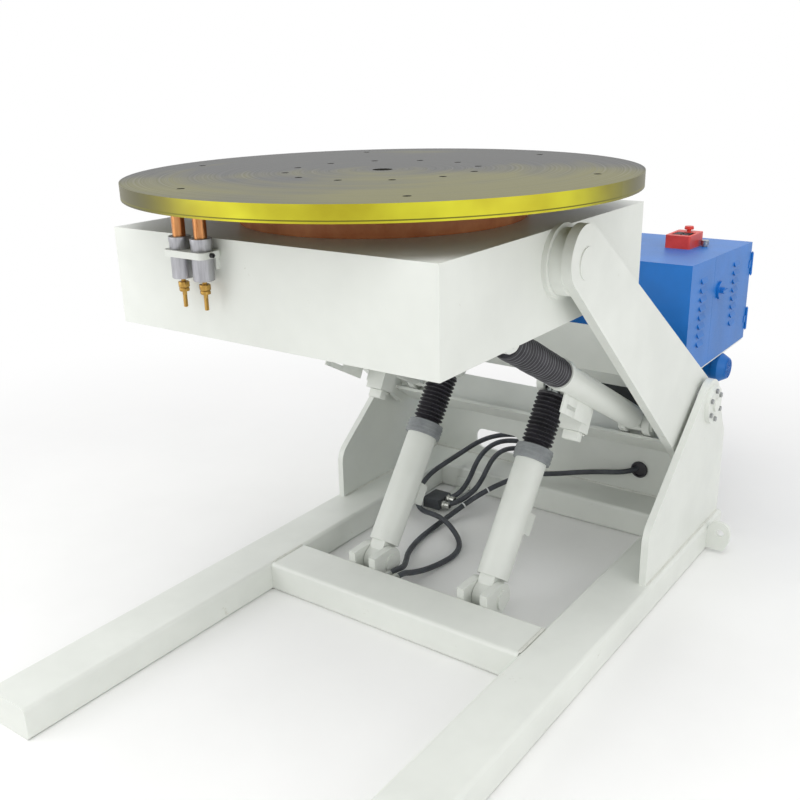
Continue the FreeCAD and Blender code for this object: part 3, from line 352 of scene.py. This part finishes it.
# nitrile hose cover, dusty grey
finishes["hoseCover"] = coatedFinish("wrappedHoseCover", {
    "dark": "#34373C", "light": "#484B52", "driftMm": 60, "grainMm": 2.0, "rough": (0.44, 0.56),
    "relief": 0.2, "reliefMm": 0.15, "ior": 1.52})
# weld metal under the same enamel, a touch glossier where it is proud
finishes["weld"] = coatedFinish("enamelledWeldBead", {
    "dark": "#CBCCC4", "light": "#DBDCD5", "driftMm": 40, "grainMm": 4.0, "rough": (0.30, 0.42),
    "relief": 0.4, "reliefMm": 0.5})
# zinc plate on hose ends and port plugs: pale and slightly clouded
finishes["zinc"] = coatedFinish("zincPlatedFitting", {
    "dark": "#A9ABA4", "light": "#C6C8C2", "driftMm": 25, "grainMm": 2.0, "rough": (0.28, 0.42),
    "relief": 0.1, "reliefMm": 0.1, "metal": 0.9})
# natural nylon cable tie: milky white
finishes["clipWhite"] = coatedFinish("nylonTieWhite", {
    "dark": "#D6D8D8", "light": "#E4E6E6", "driftMm": 20, "grainMm": 2.0, "rough": (0.4, 0.5),
    "relief": 0.1, "reliefMm": 0.1, "ior": 1.53})
# pale sealed concrete: matt, nearly even
finishes["floor"] = coatedFinish("paleConcreteFloor", {
    "dark": "#F6F6F5", "light": "#FAFAF9", "driftMm": 900, "grainMm": 20, "rough": (0.8, 0.9),
    "relief": 0.0, "reliefMm": 0.1})


def fadeFloor(material, near, far):
    # the floor turns plain white away from the machine, where its shadow has ended
    tree = material.node_tree
    output = next(node for node in tree.nodes if node.type == "OUTPUT_MATERIAL")
    shader = next(node for node in tree.nodes if node.type == "BSDF_PRINCIPLED")
    place = next(node for node in tree.nodes if node.type == "TEX_COORD").outputs["Object"]
    distance = addNode(tree, "ShaderNodeVectorMath", {"operation": "LENGTH"}, {0: place}).outputs["Value"]
    share = addNode(tree, "ShaderNodeMapRange", {"interpolation_type": "SMOOTHSTEP", "From Min": near,
                                                 "From Max": far}, {"Value": distance}).outputs["Result"]
    rays = addNode(tree, "ShaderNodeLightPath")
    seen = addNode(tree, "ShaderNodeMath", {"operation": "MAXIMUM"},
                   {0: rays.outputs["Is Camera Ray"], 1: rays.outputs["Is Glossy Ray"]}).outputs["Value"]
    share = addNode(tree, "ShaderNodeMath", {"operation": "MULTIPLY"}, {0: share, 1: seen}).outputs["Value"]
    white = addNode(tree, "ShaderNodeEmission", {"Color": (1, 1, 1, 1), "Strength": 1.0}).outputs[0]
    mixed = addNode(tree, "ShaderNodeMixShader", {}, {0: share, 1: shader.outputs[0], 2: white})
    tree.links.new(mixed.outputs[0], output.inputs["Surface"])


floorFade = {"near": 1.3, "far": 4.2}
fadeFloor(finishes["floor"], floorFade["near"], floorFade["far"])

subparts = {part["node"]: part["material_slot"] for part in frame["record"]["subparts"]}
# pins and clamp that are sprayed with the frame
paintedOver = ("tilt_trunnions", "lift_foot_pins", "tilt_foot_pins", "brush_clamp")
for nodeName, nodeObject in frame["nodes"].items():
    finish = finishes["grey_paint" if nodeName in paintedOver else subparts[nodeName]]
    if not nodeObject.material_slots:
        nodeObject.data.materials.append(finish)
    for holder in nodeObject.material_slots:
        holder.material = finish
print("finishes made:", len(finishes))


# modelling helpers

def clearSelection():
    if bpy.context.object and bpy.context.object.mode != "OBJECT":
        bpy.ops.object.mode_set(mode="OBJECT")
    bpy.ops.object.select_all(action="DESELECT")


def chooseOnly(piece):
    clearSelection()
    piece.select_set(True)
    bpy.context.view_layer.objects.active = piece


def spinSelected(steps, sweep):
    # turn the outline in edit mode about Z, close its seam and face it outwards
    bpy.ops.mesh.select_all(action="SELECT")
    bpy.ops.mesh.spin(steps=steps, angle=sweep, center=(0, 0, 0), axis=(0, 0, 1))
    bpy.ops.mesh.select_all(action="SELECT")
    bpy.ops.mesh.remove_doubles(threshold=0.00002)
    bpy.ops.mesh.normals_make_consistent(inside=False)
    bpy.ops.object.mode_set(mode="OBJECT")


def bevelAll(edge, segments):
    bpy.ops.object.transform_apply(location=True, rotation=True, scale=True)
    bpy.ops.object.mode_set(mode="EDIT")
    bpy.ops.mesh.select_all(action="SELECT")
    bpy.ops.mesh.bevel(offset=edge, segments=segments, affect="EDGES")
    bpy.ops.object.mode_set(mode="OBJECT")


def turnedPiece(name, profile, steps):
    # revolve a (radius, height) outline about Z: a point is extruded along it and spun
    clearSelection()
    bpy.ops.mesh.primitive_plane_add(size=0.01, location=(0, 0, 0))
    piece = bpy.context.object
    piece.name = name
    bpy.ops.object.mode_set(mode="EDIT")
    bpy.ops.mesh.select_all(action="SELECT")
    bpy.ops.mesh.merge(type="CENTER")
    bpy.ops.transform.translate(value=(profile[0][0], 0, profile[0][1]))
    for before, after in zip(profile, profile[1:]):
        step = (after[0] - before[0], 0, after[1] - before[1])
        bpy.ops.mesh.extrude_region_move(TRANSFORM_OT_translate={"value": step})
    spinSelected(steps, 2 * math.pi)
    return piece


def bandProfile(inner, outer, low, high):
    return [(inner, low), (outer, low), (outer, high), (inner, high), (inner, low)]


def blockPiece(name, low, high, edge):
    # bevelled block between two corners
    clearSelection()
    centre = [(a + b) / 2 for a, b in zip(low, high)]
    bpy.ops.mesh.primitive_cube_add(size=1, location=centre)
    piece = bpy.context.object
    piece.name = name
    piece.scale = [b - a for a, b in zip(low, high)]
    bevelAll(edge, 2)
    return piece


def hexPiece(name, radius, height, edge):
    clearSelection()
    bpy.ops.mesh.primitive_cylinder_add(vertices=6, radius=radius, depth=height, location=(0, 0, height / 2))
    piece = bpy.context.object
    piece.name = name
    bevelAll(edge, 1)
    return piece


def placeAlong(piece, start, direction):
    # stand a piece built up +Z on start, pointing along direction
    turn = Vector((0, 0, 1)).rotation_difference(Vector(direction).normalized()).to_matrix().to_4x4()
    chooseOnly(piece)
    piece.matrix_world = Matrix.Translation(start) @ turn @ piece.matrix_world
    bpy.ops.object.transform_apply(location=True, rotation=True, scale=True)
    return piece


def joinAs(name, pieces):
    chooseOnly(pieces[0])
    for piece in pieces:
        piece.select_set(True)
    bpy.ops.object.join()
    joined = bpy.context.object
    joined.name = name
    return joined


def settle(piece, finish, body):
    chooseOnly(piece)
    bpy.ops.object.shade_smooth_by_angle(angle=math.radians(35))
    piece.data.materials.clear()
    piece.data.materials.append(finishes[finish])
    if body:
        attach(piece, body)
    return piece


def cylinderDirection(foot, far):
    span = math.hypot(far[0] - foot[0], far[1] - foot[1])
    return (0, (far[0] - foot[0]) / span, (far[1] - foot[1]) / span)


# floor and surroundings

room = {"floorSize": 40, "floorZ": -0.0005, "light": 0.72, "seen": 1.0}
clearSelection()
bpy.ops.mesh.primitive_plane_add(size=room["floorSize"], location=(0, 0, room["floorZ"]))
floorSheet = bpy.context.object
floorSheet.name = "floorSheet"
floorSheet.data.materials.append(finishes["floor"])

world = bpy.data.worlds.new("paleRoom")
bpy.context.scene.world = world
world.use_nodes = True
roomTree = world.node_tree
roomTree.nodes.clear()
rays = addNode(roomTree, "ShaderNodeLightPath")
seen = addNode(roomTree, "ShaderNodeMath", {"operation": "MAXIMUM"},
               {0: rays.outputs["Is Camera Ray"], 1: rays.outputs["Is Glossy Ray"]})
roomLight = addNode(roomTree, "ShaderNodeBackground", {"Color": (1, 1, 1, 1), "Strength": room["light"]})
roomSeen = addNode(roomTree, "ShaderNodeBackground", {"Color": (1, 1, 1, 1), "Strength": room["seen"]})
mixRoom = addNode(roomTree, "ShaderNodeMixShader", {}, {0: seen.outputs["Value"], 1: roomLight.outputs[0],
                                                        2: roomSeen.outputs[0]})
addNode(roomTree, "ShaderNodeOutputWorld", {}, {"Surface": mixRoom.outputs[0]})
print("floor and room made")


# rubber gaiters

foldShape = {
    # shares of a fold's pitch
    "valleyFrom": 0.14, "valleyTo": 0.02, "crestFrom": 0.36, "crestTo": 0.46, "cuff": 0.3,
    # metres
    "cuffIn": 0.003, "capIn": 0.004, "crestDrop": 0.001, "grip": 0.012,
}


def gaiter(name, node, gaiterSize, foot, far, x):
    random.seed(gaiterSize["seed"])
    start, end, folds = gaiterSize["start"], gaiterSize["end"], gaiterSize["folds"]
    crest, valley, inner = gaiterSize["crest"], gaiterSize["valley"], gaiterSize["inner"]
    pitch = (end - start) / folds
    cuff = crest - foldShape["cuffIn"]
    profile = [(inner, start), (cuff, start), (cuff, start + pitch * foldShape["cuff"])]
    for i in range(folds - 1):
        wander = (random.random() - 0.5) * gaiterSize["wander"]
        middle = start + pitch * (i + 1)
        profile += [(valley + abs(wander) * 0.4, middle - pitch * foldShape["valleyFrom"]),
                    (valley, middle - pitch * foldShape["valleyTo"]),
                    (crest - abs(wander), middle + pitch * foldShape["crestFrom"] + wander * 0.5),
                    (crest - foldShape["crestDrop"] - abs(wander),
                     middle + pitch * foldShape["crestTo"] + wander * 0.5)]
    profile += [(crest - foldShape["capIn"], end), (inner, end), (inner, start)]
    piece = turnedPiece(name, profile, gaiterSize["steps"])
    # faces near the fold crests take the paler rubber, a painted highlight
    rubbed = [face.index for face in piece.data.polygons
              if math.hypot(face.center[0], face.center[1]) > crest - gaiterSize["rubbed"]]
    placeAlong(piece, (x, foot[0], foot[1]), cylinderDirection(foot, far))
    settle(piece, "black_rubber", None)
    piece.data.materials.append(finishes["rubbedRubber"])
    for index in rubbed:
        piece.data.polygons[index].material_index = 1
    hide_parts(node)
    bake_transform(piece)


liftGaiter = {"start": 0.5525, "end": 0.7572, "folds": 13, "crest": 0.057, "valley": 0.0440, "inner": 0.040,
              "wander": 0.0012, "steps": 40, "seed": 3, "rubbed": 0.0022}
tiltGaiter = {"start": 0.7585, "end": 1.1225, "folds": 21, "crest": 0.048, "valley": 0.0355, "inner": 0.031,
              "wander": 0.0024, "steps": 36, "seed": 8, "rubbed": 0.0030}
for side, sign in sides.items():
    gaiter("liftGaiter." + side, "lift_bellows_" + side, liftGaiter, liftFoot, liftEye, sign * liftX)
    gaiter("tiltGaiter." + side, "tilt_bellows_" + side, tiltGaiter, tiltFoot, tiltEye, sign * tiltX)
print("gaiters made")


# hoses on the base

hoses = {
    "hoseLong": {"length": 1.882, "far": (0, -1, 0), "exitWay": (0, 0, -1),
        "route": [
            (0.392, 1.284, 0.485), (0.392, 1.284, 0.418), (0.394, 1.300, 0.350), (0.388, 1.296, 0.284),
            (0.372, 1.262, 0.236), (0.348, 1.210, 0.216), (0.300, 1.170, 0.206), (0.216, 1.156, 0.194),
            (0.124, 1.146, 0.174), (0.024, 1.114, 0.154), (-0.080, 1.056, 0.150), (-0.166, 0.968, 0.118),
            (-0.238, 0.868, 0.070), (-0.278, 0.760, 0.028), (-0.290, 0.640, 0.0125), (-0.282, 0.510, 0.0125),
            (-0.252, 0.394, 0.016), (-0.198, 0.304, 0.030), (-0.152, 0.226, 0.054), (-0.141, 0.150, 0.080),
            (-0.140, 0.082, 0.080)]},
    "hoseLoop": {"length": 1.762, "far": (0, -1, 0), "exitWay": (-1, 0, 0),
        "route": [
            (-0.030, 1.284, 0.226), (-0.112, 1.284, 0.226), (-0.202, 1.290, 0.224), (-0.286, 1.274, 0.220),
            (-0.346, 1.222, 0.218), (-0.384, 1.142, 0.208), (-0.410, 1.056, 0.184), (-0.446, 0.972, 0.152),
            (-0.478, 0.890, 0.122), (-0.482, 0.810, 0.084), (-0.454, 0.740, 0.046), (-0.394, 0.694, 0.036),
            (-0.322, 0.672, 0.050), (-0.244, 0.650, 0.050), (-0.170, 0.618, 0.022), (-0.112, 0.560, 0.0125),
            (-0.084, 0.478, 0.0125), (-0.094, 0.390, 0.0125), (-0.108, 0.304, 0.020), (-0.112, 0.224, 0.044),
            (-0.109, 0.150, 0.078), (-0.108, 0.082, 0.078)]},
    "hoseDividerUpper": {"length": 0.712, "far": (-1, 0, 0), "exitWay": (-1, 0, 0),
        "route": [
            (-0.030, 1.262, 0.198), (-0.110, 1.262, 0.198), (-0.190, 1.266, 0.200), (-0.256, 1.244, 0.206),
            (-0.292, 1.196, 0.212), (-0.312, 1.134, 0.208), (-0.320, 1.070, 0.190), (-0.318, 1.010, 0.160),
            (-0.308, 0.952, 0.122), (-0.306, 0.894, 0.088), (-0.324, 0.852, 0.060), (-0.360, 0.842, 0.046)]},
    "hoseDividerLower": {"length": 0.725, "far": (-1, 0, 0), "exitWay": (-1, 0, 0),
        "route": [
            (-0.030, 1.250, 0.166), (-0.100, 1.250, 0.166), (-0.166, 1.254, 0.170), (-0.222, 1.236, 0.178),
            (-0.254, 1.188, 0.186), (-0.266, 1.126, 0.186), (-0.266, 1.064, 0.172), (-0.258, 1.006, 0.148),
            (-0.250, 0.950, 0.118), (-0.256, 0.894, 0.086), (-0.282, 0.842, 0.058), (-0.320, 0.806, 0.040),
            (-0.360, 0.802, 0.034)]},
}
hoseSize = {"radius": 0.011, "roundness": 4, "steps": 10, "nut": (0.0175, 0.016, 0.0012), "ferruleSteps": 24,
            "ferrule": [(0.0112, 0.040), (0.0145, 0.038), (0.0150, 0.020), (0.0135, 0.018), (0.0135, 0.016),
                        (0.0112, 0.014), (0.0112, 0.040)]}


def hydraulicHose(name, route):
    line = bpy.data.curves.new(name, "CURVE")
    line.dimensions = "3D"
    line.bevel_depth = hoseSize["radius"]
    line.bevel_resolution = hoseSize["roundness"]
    line.resolution_u = hoseSize["steps"]
    line.use_fill_caps = True
    spline = line.splines.new("NURBS")
    spline.points.add(len(route) - 1)
    for point, place in zip(spline.points, route):
        point.co = (*place, 1.0)
    spline.order_u = 3
    spline.use_endpoint_u = True
    piece = bpy.data.objects.new(name, line)
    bpy.context.scene.collection.objects.link(piece)
    piece.data.materials.append(finishes["hoseCover"])
    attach(piece, "base")
    return piece


def hoseEnd(name, place, direction):
    # crimped ferrule with its nut, against the face that it screws into
    ferrule = turnedPiece(name, hoseSize["ferrule"], hoseSize["ferruleSteps"])
    nut = hexPiece(name + ".nut", *hoseSize["nut"])
    return settle(placeAlong(joinAs(name, [ferrule, nut]), place, direction), "zinc", "base")


for name, hose in hoses.items():
    piece = hydraulicHose(name, hose["route"])
    ends = [hoseEnd(name + ".near", hose["route"][0], hose["exitWay"]),
            hoseEnd(name + ".far", hose["route"][-1], -Vector(hose["far"]))]

blockEdge = 0.002
hoseBlocks = {
    # name: (low corner, high corner)
    "wallBlock": ((-0.030, 1.232, 0.140), (0.040, 1.304, 0.250)),
    "dividerBlock": ((-0.440, 0.772, 0.014), (-0.360, 0.872, 0.060)),
    "dividerStrap": ((-0.430, 0.782, 0.006), (-0.370, 1.040, 0.014)),
    "dividerRiser": ((-0.430, 1.032, 0.014), (-0.370, 1.040, 0.060)),
}
for name, (low, high) in hoseBlocks.items():
    finish = "tank_grey" if name.endswith("Block") else "grey_paint"
    settle(blockPiece(name, low, high, blockEdge), finish, "base")
cableGrommet = {     # closed by a membrane that the hose pierces
    "place": (0.360, 1.214, 0.218), "steps": 40,
    "profile": [(0.0, -0.002), (0.0260, -0.002), (0.0285, -0.009), (0.0345, -0.009), (0.0360, -0.006),
                (0.0345, -0.001), (0.0296, -0.001), (0.0296, 0.010), (0.0, 0.004)],
}
grommet = turnedPiece("cableGrommet", cableGrommet["profile"], cableGrommet["steps"])
settle(placeAlong(grommet, cableGrommet["place"], (0, 1, 0)), "black_rubber", "base")
hoseTies = {     # nylon ties round the long hose: (place, direction along the hose)
    "size": (0.0113, 0.0132, -0.003, 0.003), "steps": 24,
    "places": [((-0.2016, 0.9190, 0.0948), (-0.72, -1.0, -0.48)),
               ((-0.2583, 0.8135, 0.0490), (-0.40, -1.08, -0.42))],
}
for i, (place, way) in enumerate(hoseTies["places"]):
    band = turnedPiece("hoseTie." + str(i), bandProfile(*hoseTies["size"]), hoseTies["steps"])
    settle(placeAlong(band, place, way), "clipWhite", "base")
print("hoses laid")


# guard round the slewing ring, open at the pinion

def partTurned(name, profile, steps, start, sweep):
    # closed outline turned through part of a circle
    clearSelection()
    bpy.ops.mesh.primitive_circle_add(vertices=len(profile), radius=0.01, fill_type="NGON",
                                      location=(0, 0, 0))
    piece = bpy.context.object
    piece.name = name
    for corner, (radius, height) in zip(piece.data.vertices, profile):
        corner.co = (radius, 0, height)
    bpy.ops.object.mode_set(mode="EDIT")
    spinSelected(steps, sweep)
    chooseOnly(piece)
    piece.rotation_euler = (0, 0, start)
    bpy.ops.object.transform_apply(location=True, rotation=True, scale=True)
    return piece


ringGuard = {"inner": 0.4255, "outer": 0.4285, "low": 1.4125, "top": 1.4960, "gap": math.radians(34),
             "steps": 90, "roll": (0.0016, 0.004), "lip": (0.001, 0.002)}
inner, outer, low, top = (ringGuard[key] for key in ("inner", "outer", "low", "top"))
(rollIn, rollUp), (lipIn, lipDown) = ringGuard["roll"], ringGuard["lip"]
guardProfile = [(inner, low), (outer - rollIn, low), (outer, low + rollUp),     # lower edge rolled round
                (outer, top - lipDown), (outer - lipIn, top), (inner, top)]
guard = partTurned("slewingRingGuard", guardProfile, ringGuard["steps"], math.pi / 2 + ringGuard["gap"],
                   2 * math.pi - 2 * ringGuard["gap"])
placeAlong(guard, (tableCentre[0], tableCentre[1], 0), (0, 0, 1))
settle(guard, "ring_primer", "tilt_box")
print("ring guard made")


# earthing brushes

brush = {
    "places": (-0.240, -0.158), "y": -0.627,
    "rod": 0.0175, "rodTop": 1.4990, "rodIn": 0.004, "rodEdge": 0.001,
    "holder": 0.0285, "bore": 0.0185, "low": 1.3055, "top": 1.4180, "chamfer": 0.0015,
    # rim: proud of the holder's wall, then (start, full, turned in) below its top
    "rim": 0.0010, "rimBelow": (0.016, 0.014, 0.001),
    "stud": 0.0062, "studLow": 1.2240, "studIn": 0.006, "pitch": 0.0030, "turns": 12, "threadIn": 0.0008,
    # nut: (radius, height, below the holder)
    "nuts": {"nutUpper": (0.0162, 0.016, 0.026), "nutLower": (0.0150, 0.010, 0.037)}, "nutEdge": 0.0015,
    "rodSteps": 32, "studSteps": 20, "holderSteps": 40,
}
low, top, rod, stud = (brush[key] for key in ("low", "top", "rod", "stud"))
wall, bore = brush["holder"], brush["bore"]
rimmed, (rimStart, rimFull, rimTurned) = wall + brush["rim"], brush["rimBelow"]
for i, x in enumerate(brush["places"]):
    rodPiece = turnedPiece("brushRod." + str(i), [
        (0.0, low + brush["rodIn"]), (rod, low + brush["rodIn"]), (rod, brush["rodTop"] - brush["rodEdge"]),
        (rod - brush["rodEdge"], brush["rodTop"]), (0.0, brush["rodTop"])], brush["rodSteps"])
    settle(placeAlong(rodPiece, (x, brush["y"], 0), (0, 0, 1)), "brush_copper", "brushes")
    thread = [(0.0, brush["studLow"])]
    for k in range(brush["turns"]):
        z = brush["studLow"] + 0.001 + k * brush["pitch"]
        thread += [(stud - brush["threadIn"], z), (stud, z + brush["pitch"] / 2)]
    thread += [(stud, low + brush["studIn"]), (0.0, low + brush["studIn"])]     # screwed up into the rod
    parts = [placeAlong(hexPiece(name, radius, height, brush["nutEdge"]), (0, 0, low - below), (0, 0, 1))
             for name, (radius, height, below) in brush["nuts"].items()]
    nuts = joinAs("brushNuts." + str(i), parts + [turnedPiece("studThread", thread, brush["studSteps"])])
    settle(placeAlong(nuts, (x, brush["y"], 0), (0, 0, 1)), "bronze", "brushes")
    holder = turnedPiece("brushHolder." + str(i), [
        (bore, low), (wall - brush["chamfer"], low), (wall, low + brush["chamfer"]), (wall, top - rimStart),
        (rimmed, top - rimFull), (rimmed, top - rimTurned), (wall, top), (bore, top), (bore, low)],
                         brush["holderSteps"])
    settle(placeAlong(holder, (x, brush["y"], 0), (0, 0, 1)), "brush_aluminium", "tilt_box")
    if i == 0:     # one piece of the pair stands for the node that holds both
        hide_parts("brush_holders")
        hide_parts("brush_rods")

clampScrew = {     # socket head cap screw
    "place": (-0.124, -0.627, 1.375), "steps": 20,
    "profile": [(0.0, 0.0), (0.0065, 0.0), (0.0065, 0.008), (0.0058, 0.009), (0.0036, 0.009), (0.0036, 0.005),
                (0.0, 0.005)],
}
screw = turnedPiece("clampScrew", clampScrew["profile"], clampScrew["steps"])
settle(placeAlong(screw, clampScrew["place"], (1, 0, 0)), "key_black", "tilt_box")
print("brushes dressed")


# hydraulic dress on the tilt cylinders

valveDress = {
    # in the cylinder's own frame, with +Z along it and the valve inboard of the barrel
    "inset": 0.066,
    "bracket": {"low": (-0.010, -0.104, 0.430), "high": (-0.004, -0.030, 0.660), "slotY": (-0.084, -0.070),
                "slotZ": (0.555, 0.625), "edge": 0.0008},
    # solenoid block: (x from, x to, y from, y to, z from, z to, edge), x measured from the valve's centre
    "solenoid": {"valveBody": (-0.028, 0.028, -0.160, -0.1285, 0.372, 0.410, 0.002),
                 "valveCoil": (-0.050, -0.037, -0.104, -0.060, 0.346, 0.420, 0.003)},
    "plug": {"radius": 0.011, "height": 0.009, "edge": 0.001, "steps": (-0.022, 0.022), "y": -0.128,
             "z": 0.360},
}
bracket, plug = valveDress["bracket"], valveDress["plug"]
(x0, y0, z0), (x1, y1, z1) = bracket["low"], bracket["high"]
(s0, s1), (t0, t1) = bracket["slotY"], bracket["slotZ"]
plateBlocks = {     # four blocks round the slot
    "plateTail": ((x0, y0, z0), (x1, y1, t0)), "plateHead": ((x0, y0, t1), (x1, y1, z1)),
    "plateLow": ((x0, y0, t0), (x1, s0, t1)), "plateHigh": ((x0, s1, t0), (x1, y1, t1)),
}
barrelWay = cylinderDirection(tiltFoot, tiltEye)
barrelTurn = Matrix.Rotation(math.atan2(-barrelWay[1], barrelWay[2]), 4, "X")
for side, sign in sides.items():
    centre = -sign * valveDress["inset"]
    plate = joinAs("valveBracket." + side, [blockPiece(name, low, high, bracket["edge"])
                                            for name, (low, high) in plateBlocks.items()])
    solenoid = joinAs("valveSolenoid." + side, [
        blockPiece(name, (centre + a, c, e), (centre + b, d, f), edge)
        for name, (a, b, c, d, e, f, edge) in valveDress["solenoid"].items()])
    plugs = joinAs("valvePlugs." + side, [
        placeAlong(hexPiece("portPlug", plug["radius"], plug["height"], plug["edge"]),
                   (centre + step, plug["y"], plug["z"]), (0, -1, 0)) for step in plug["steps"]])
    foot = Matrix.Translation((sign * tiltX, tiltFoot[0], tiltFoot[1]))
    for piece, finish, slot in ((plate, "grey_paint", "grey_paint"), (solenoid, "grey_paint", "grey_paint"),
                                (plugs, "zinc", "bright_steel")):
        chooseOnly(piece)
        piece.matrix_world = foot @ barrelTurn @ piece.matrix_world
        bpy.ops.object.transform_apply(location=True, rotation=True, scale=True)
        settle(piece, finish, "tilt_barrel_" + side)
print("tilt cylinders dressed")


# collars, motor cowl and pendant

collarBands = {"seat": 0.0668, "crest": 0.0690, "seatHalf": 0.0035, "crestHalf": 0.0025,
               "heights": (0.512, 0.526, 0.540), "steps": 48}


def collarOutline(z):
    # low hoop with sloping sides, from its seat on the barrel to its crest
    seat, crest = collarBands["seat"], collarBands["crest"]
    half, crestHalf = collarBands["seatHalf"], collarBands["crestHalf"]
    return [(seat, z - half), (crest, z - crestHalf), (crest, z + crestHalf), (seat, z + half),
            (seat, z - half)]


for side, sign in sides.items():
    bands = [turnedPiece("collarBand", collarOutline(z), collarBands["steps"])
             for z in collarBands["heights"]]
    settle(placeAlong(joinAs("collarBands." + side, bands), (sign * liftX, liftFoot[0], liftFoot[1]),
                      cylinderDirection(liftFoot, liftEye)), "cast_grey", "lift_barrel_" + side)

cowlGrille = {"place": (0.6272, 1.400, 0.655), "rings": (0.010, 0.019, 0.028, 0.037), "lineHalf": 0.0016,
              "proud": 0.003, "barReach": 0.040, "barHalf": 0.0015, "barProud": 0.0034, "barEdge": 0.0004,
              "steps": 36}
line, proud = cowlGrille["lineHalf"], cowlGrille["proud"]
reach, across = cowlGrille["barReach"], cowlGrille["barHalf"]
rings = [turnedPiece("cowlRing", bandProfile(r - line, r + line, 0.0, proud), cowlGrille["steps"])
         for r in cowlGrille["rings"]]
bars = [blockPiece("cowlBar", (-a, -b, 0.0), (a, b, cowlGrille["barProud"]), cowlGrille["barEdge"])
        for a, b in ((reach, across), (across, reach))]
settle(placeAlong(joinAs("cowlGrille", rings + bars), cowlGrille["place"], (1, 0, 0)),
       "cabinet_blue", "base")

stopMushroom = {"place": (0.413, 1.431, 0), "steps": 40,
                "profile": [(0.0, 1.1922), (0.0172, 1.1922), (0.0184, 1.1950), (0.0178, 1.2000),
                            (0.0130, 1.2036), (0.0, 1.2042)]}
mushroom = turnedPiece("stopMushroom", stopMushroom["profile"], stopMushroom["steps"])
settle(placeAlong(mushroom, stopMushroom["place"], (0, 0, 1)), "pendant_red", "stop_button")
print("collars, cowl and pendant dressed")


# weld seams on the base

weldBead = {"crest": 0.0062, "waist": 0.0050, "end": 0.0035, "ripple": 0.014, "fewest": 6, "sides": 8}


def weldSeam(name, start, end):
    # rippled fillet bead, half sunk in the corner that it fills
    span = math.dist(start, end)
    ripples = max(weldBead["fewest"], int(span / weldBead["ripple"]))
    profile = [(0.0, 0.0), (weldBead["end"], 0.0)]
    for i in range(ripples):
        z = span * (i + 0.5) / ripples
        profile += [(weldBead["crest"], z), (weldBead["waist"], z + span * 0.5 / ripples)]
    profile[-1] = (weldBead["end"], span)
    profile.append((0.0, span))
    bead = turnedPiece(name, profile, weldBead["sides"])
    settle(placeAlong(bead, start, [b - a for a, b in zip(start, end)]), "weld", "base")


seams = {
    "seamUprightInner": ((0.660, 0.510, 0.110), (0.660, 1.230, 0.110)),
    "seamUprightOuter": ((0.685, 0.510, 0.110), (0.685, 1.230, 0.110)),
    "seamUprightInnerLeft": ((-0.660, 0.510, 0.110), (-0.660, 1.230, 0.110)),
    "seamUprightOuterLeft": ((-0.685, 0.510, 0.110), (-0.685, 1.230, 0.110)),
    "seamWallFront": ((-0.655, 1.214, 0.110), (0.655, 1.214, 0.110)),
    "seamFrontBeamRight": ((0.518, -0.092, 0.110), (0.518, 0.070, 0.110)),
    "seamFrontBeamLeft": ((-0.518, -0.092, 0.110), (-0.518, 0.070, 0.110)),
    "seamRearBeamRight": ((0.518, 1.052, 0.110), (0.518, 1.210, 0.110)),
    "seamRearBeamLeft": ((-0.518, 1.052, 0.110), (-0.518, 1.210, 0.110)),
    "seamWallRight": ((0.660, 1.214, 0.115), (0.660, 1.214, 0.395)),
    "seamWallLeft": ((-0.660, 1.214, 0.115), (-0.660, 1.214, 0.395)),
}
for name, (start, end) in seams.items():
    weldSeam(name, start, end)
print("weld seams laid:", len(seams))

print("scene built")
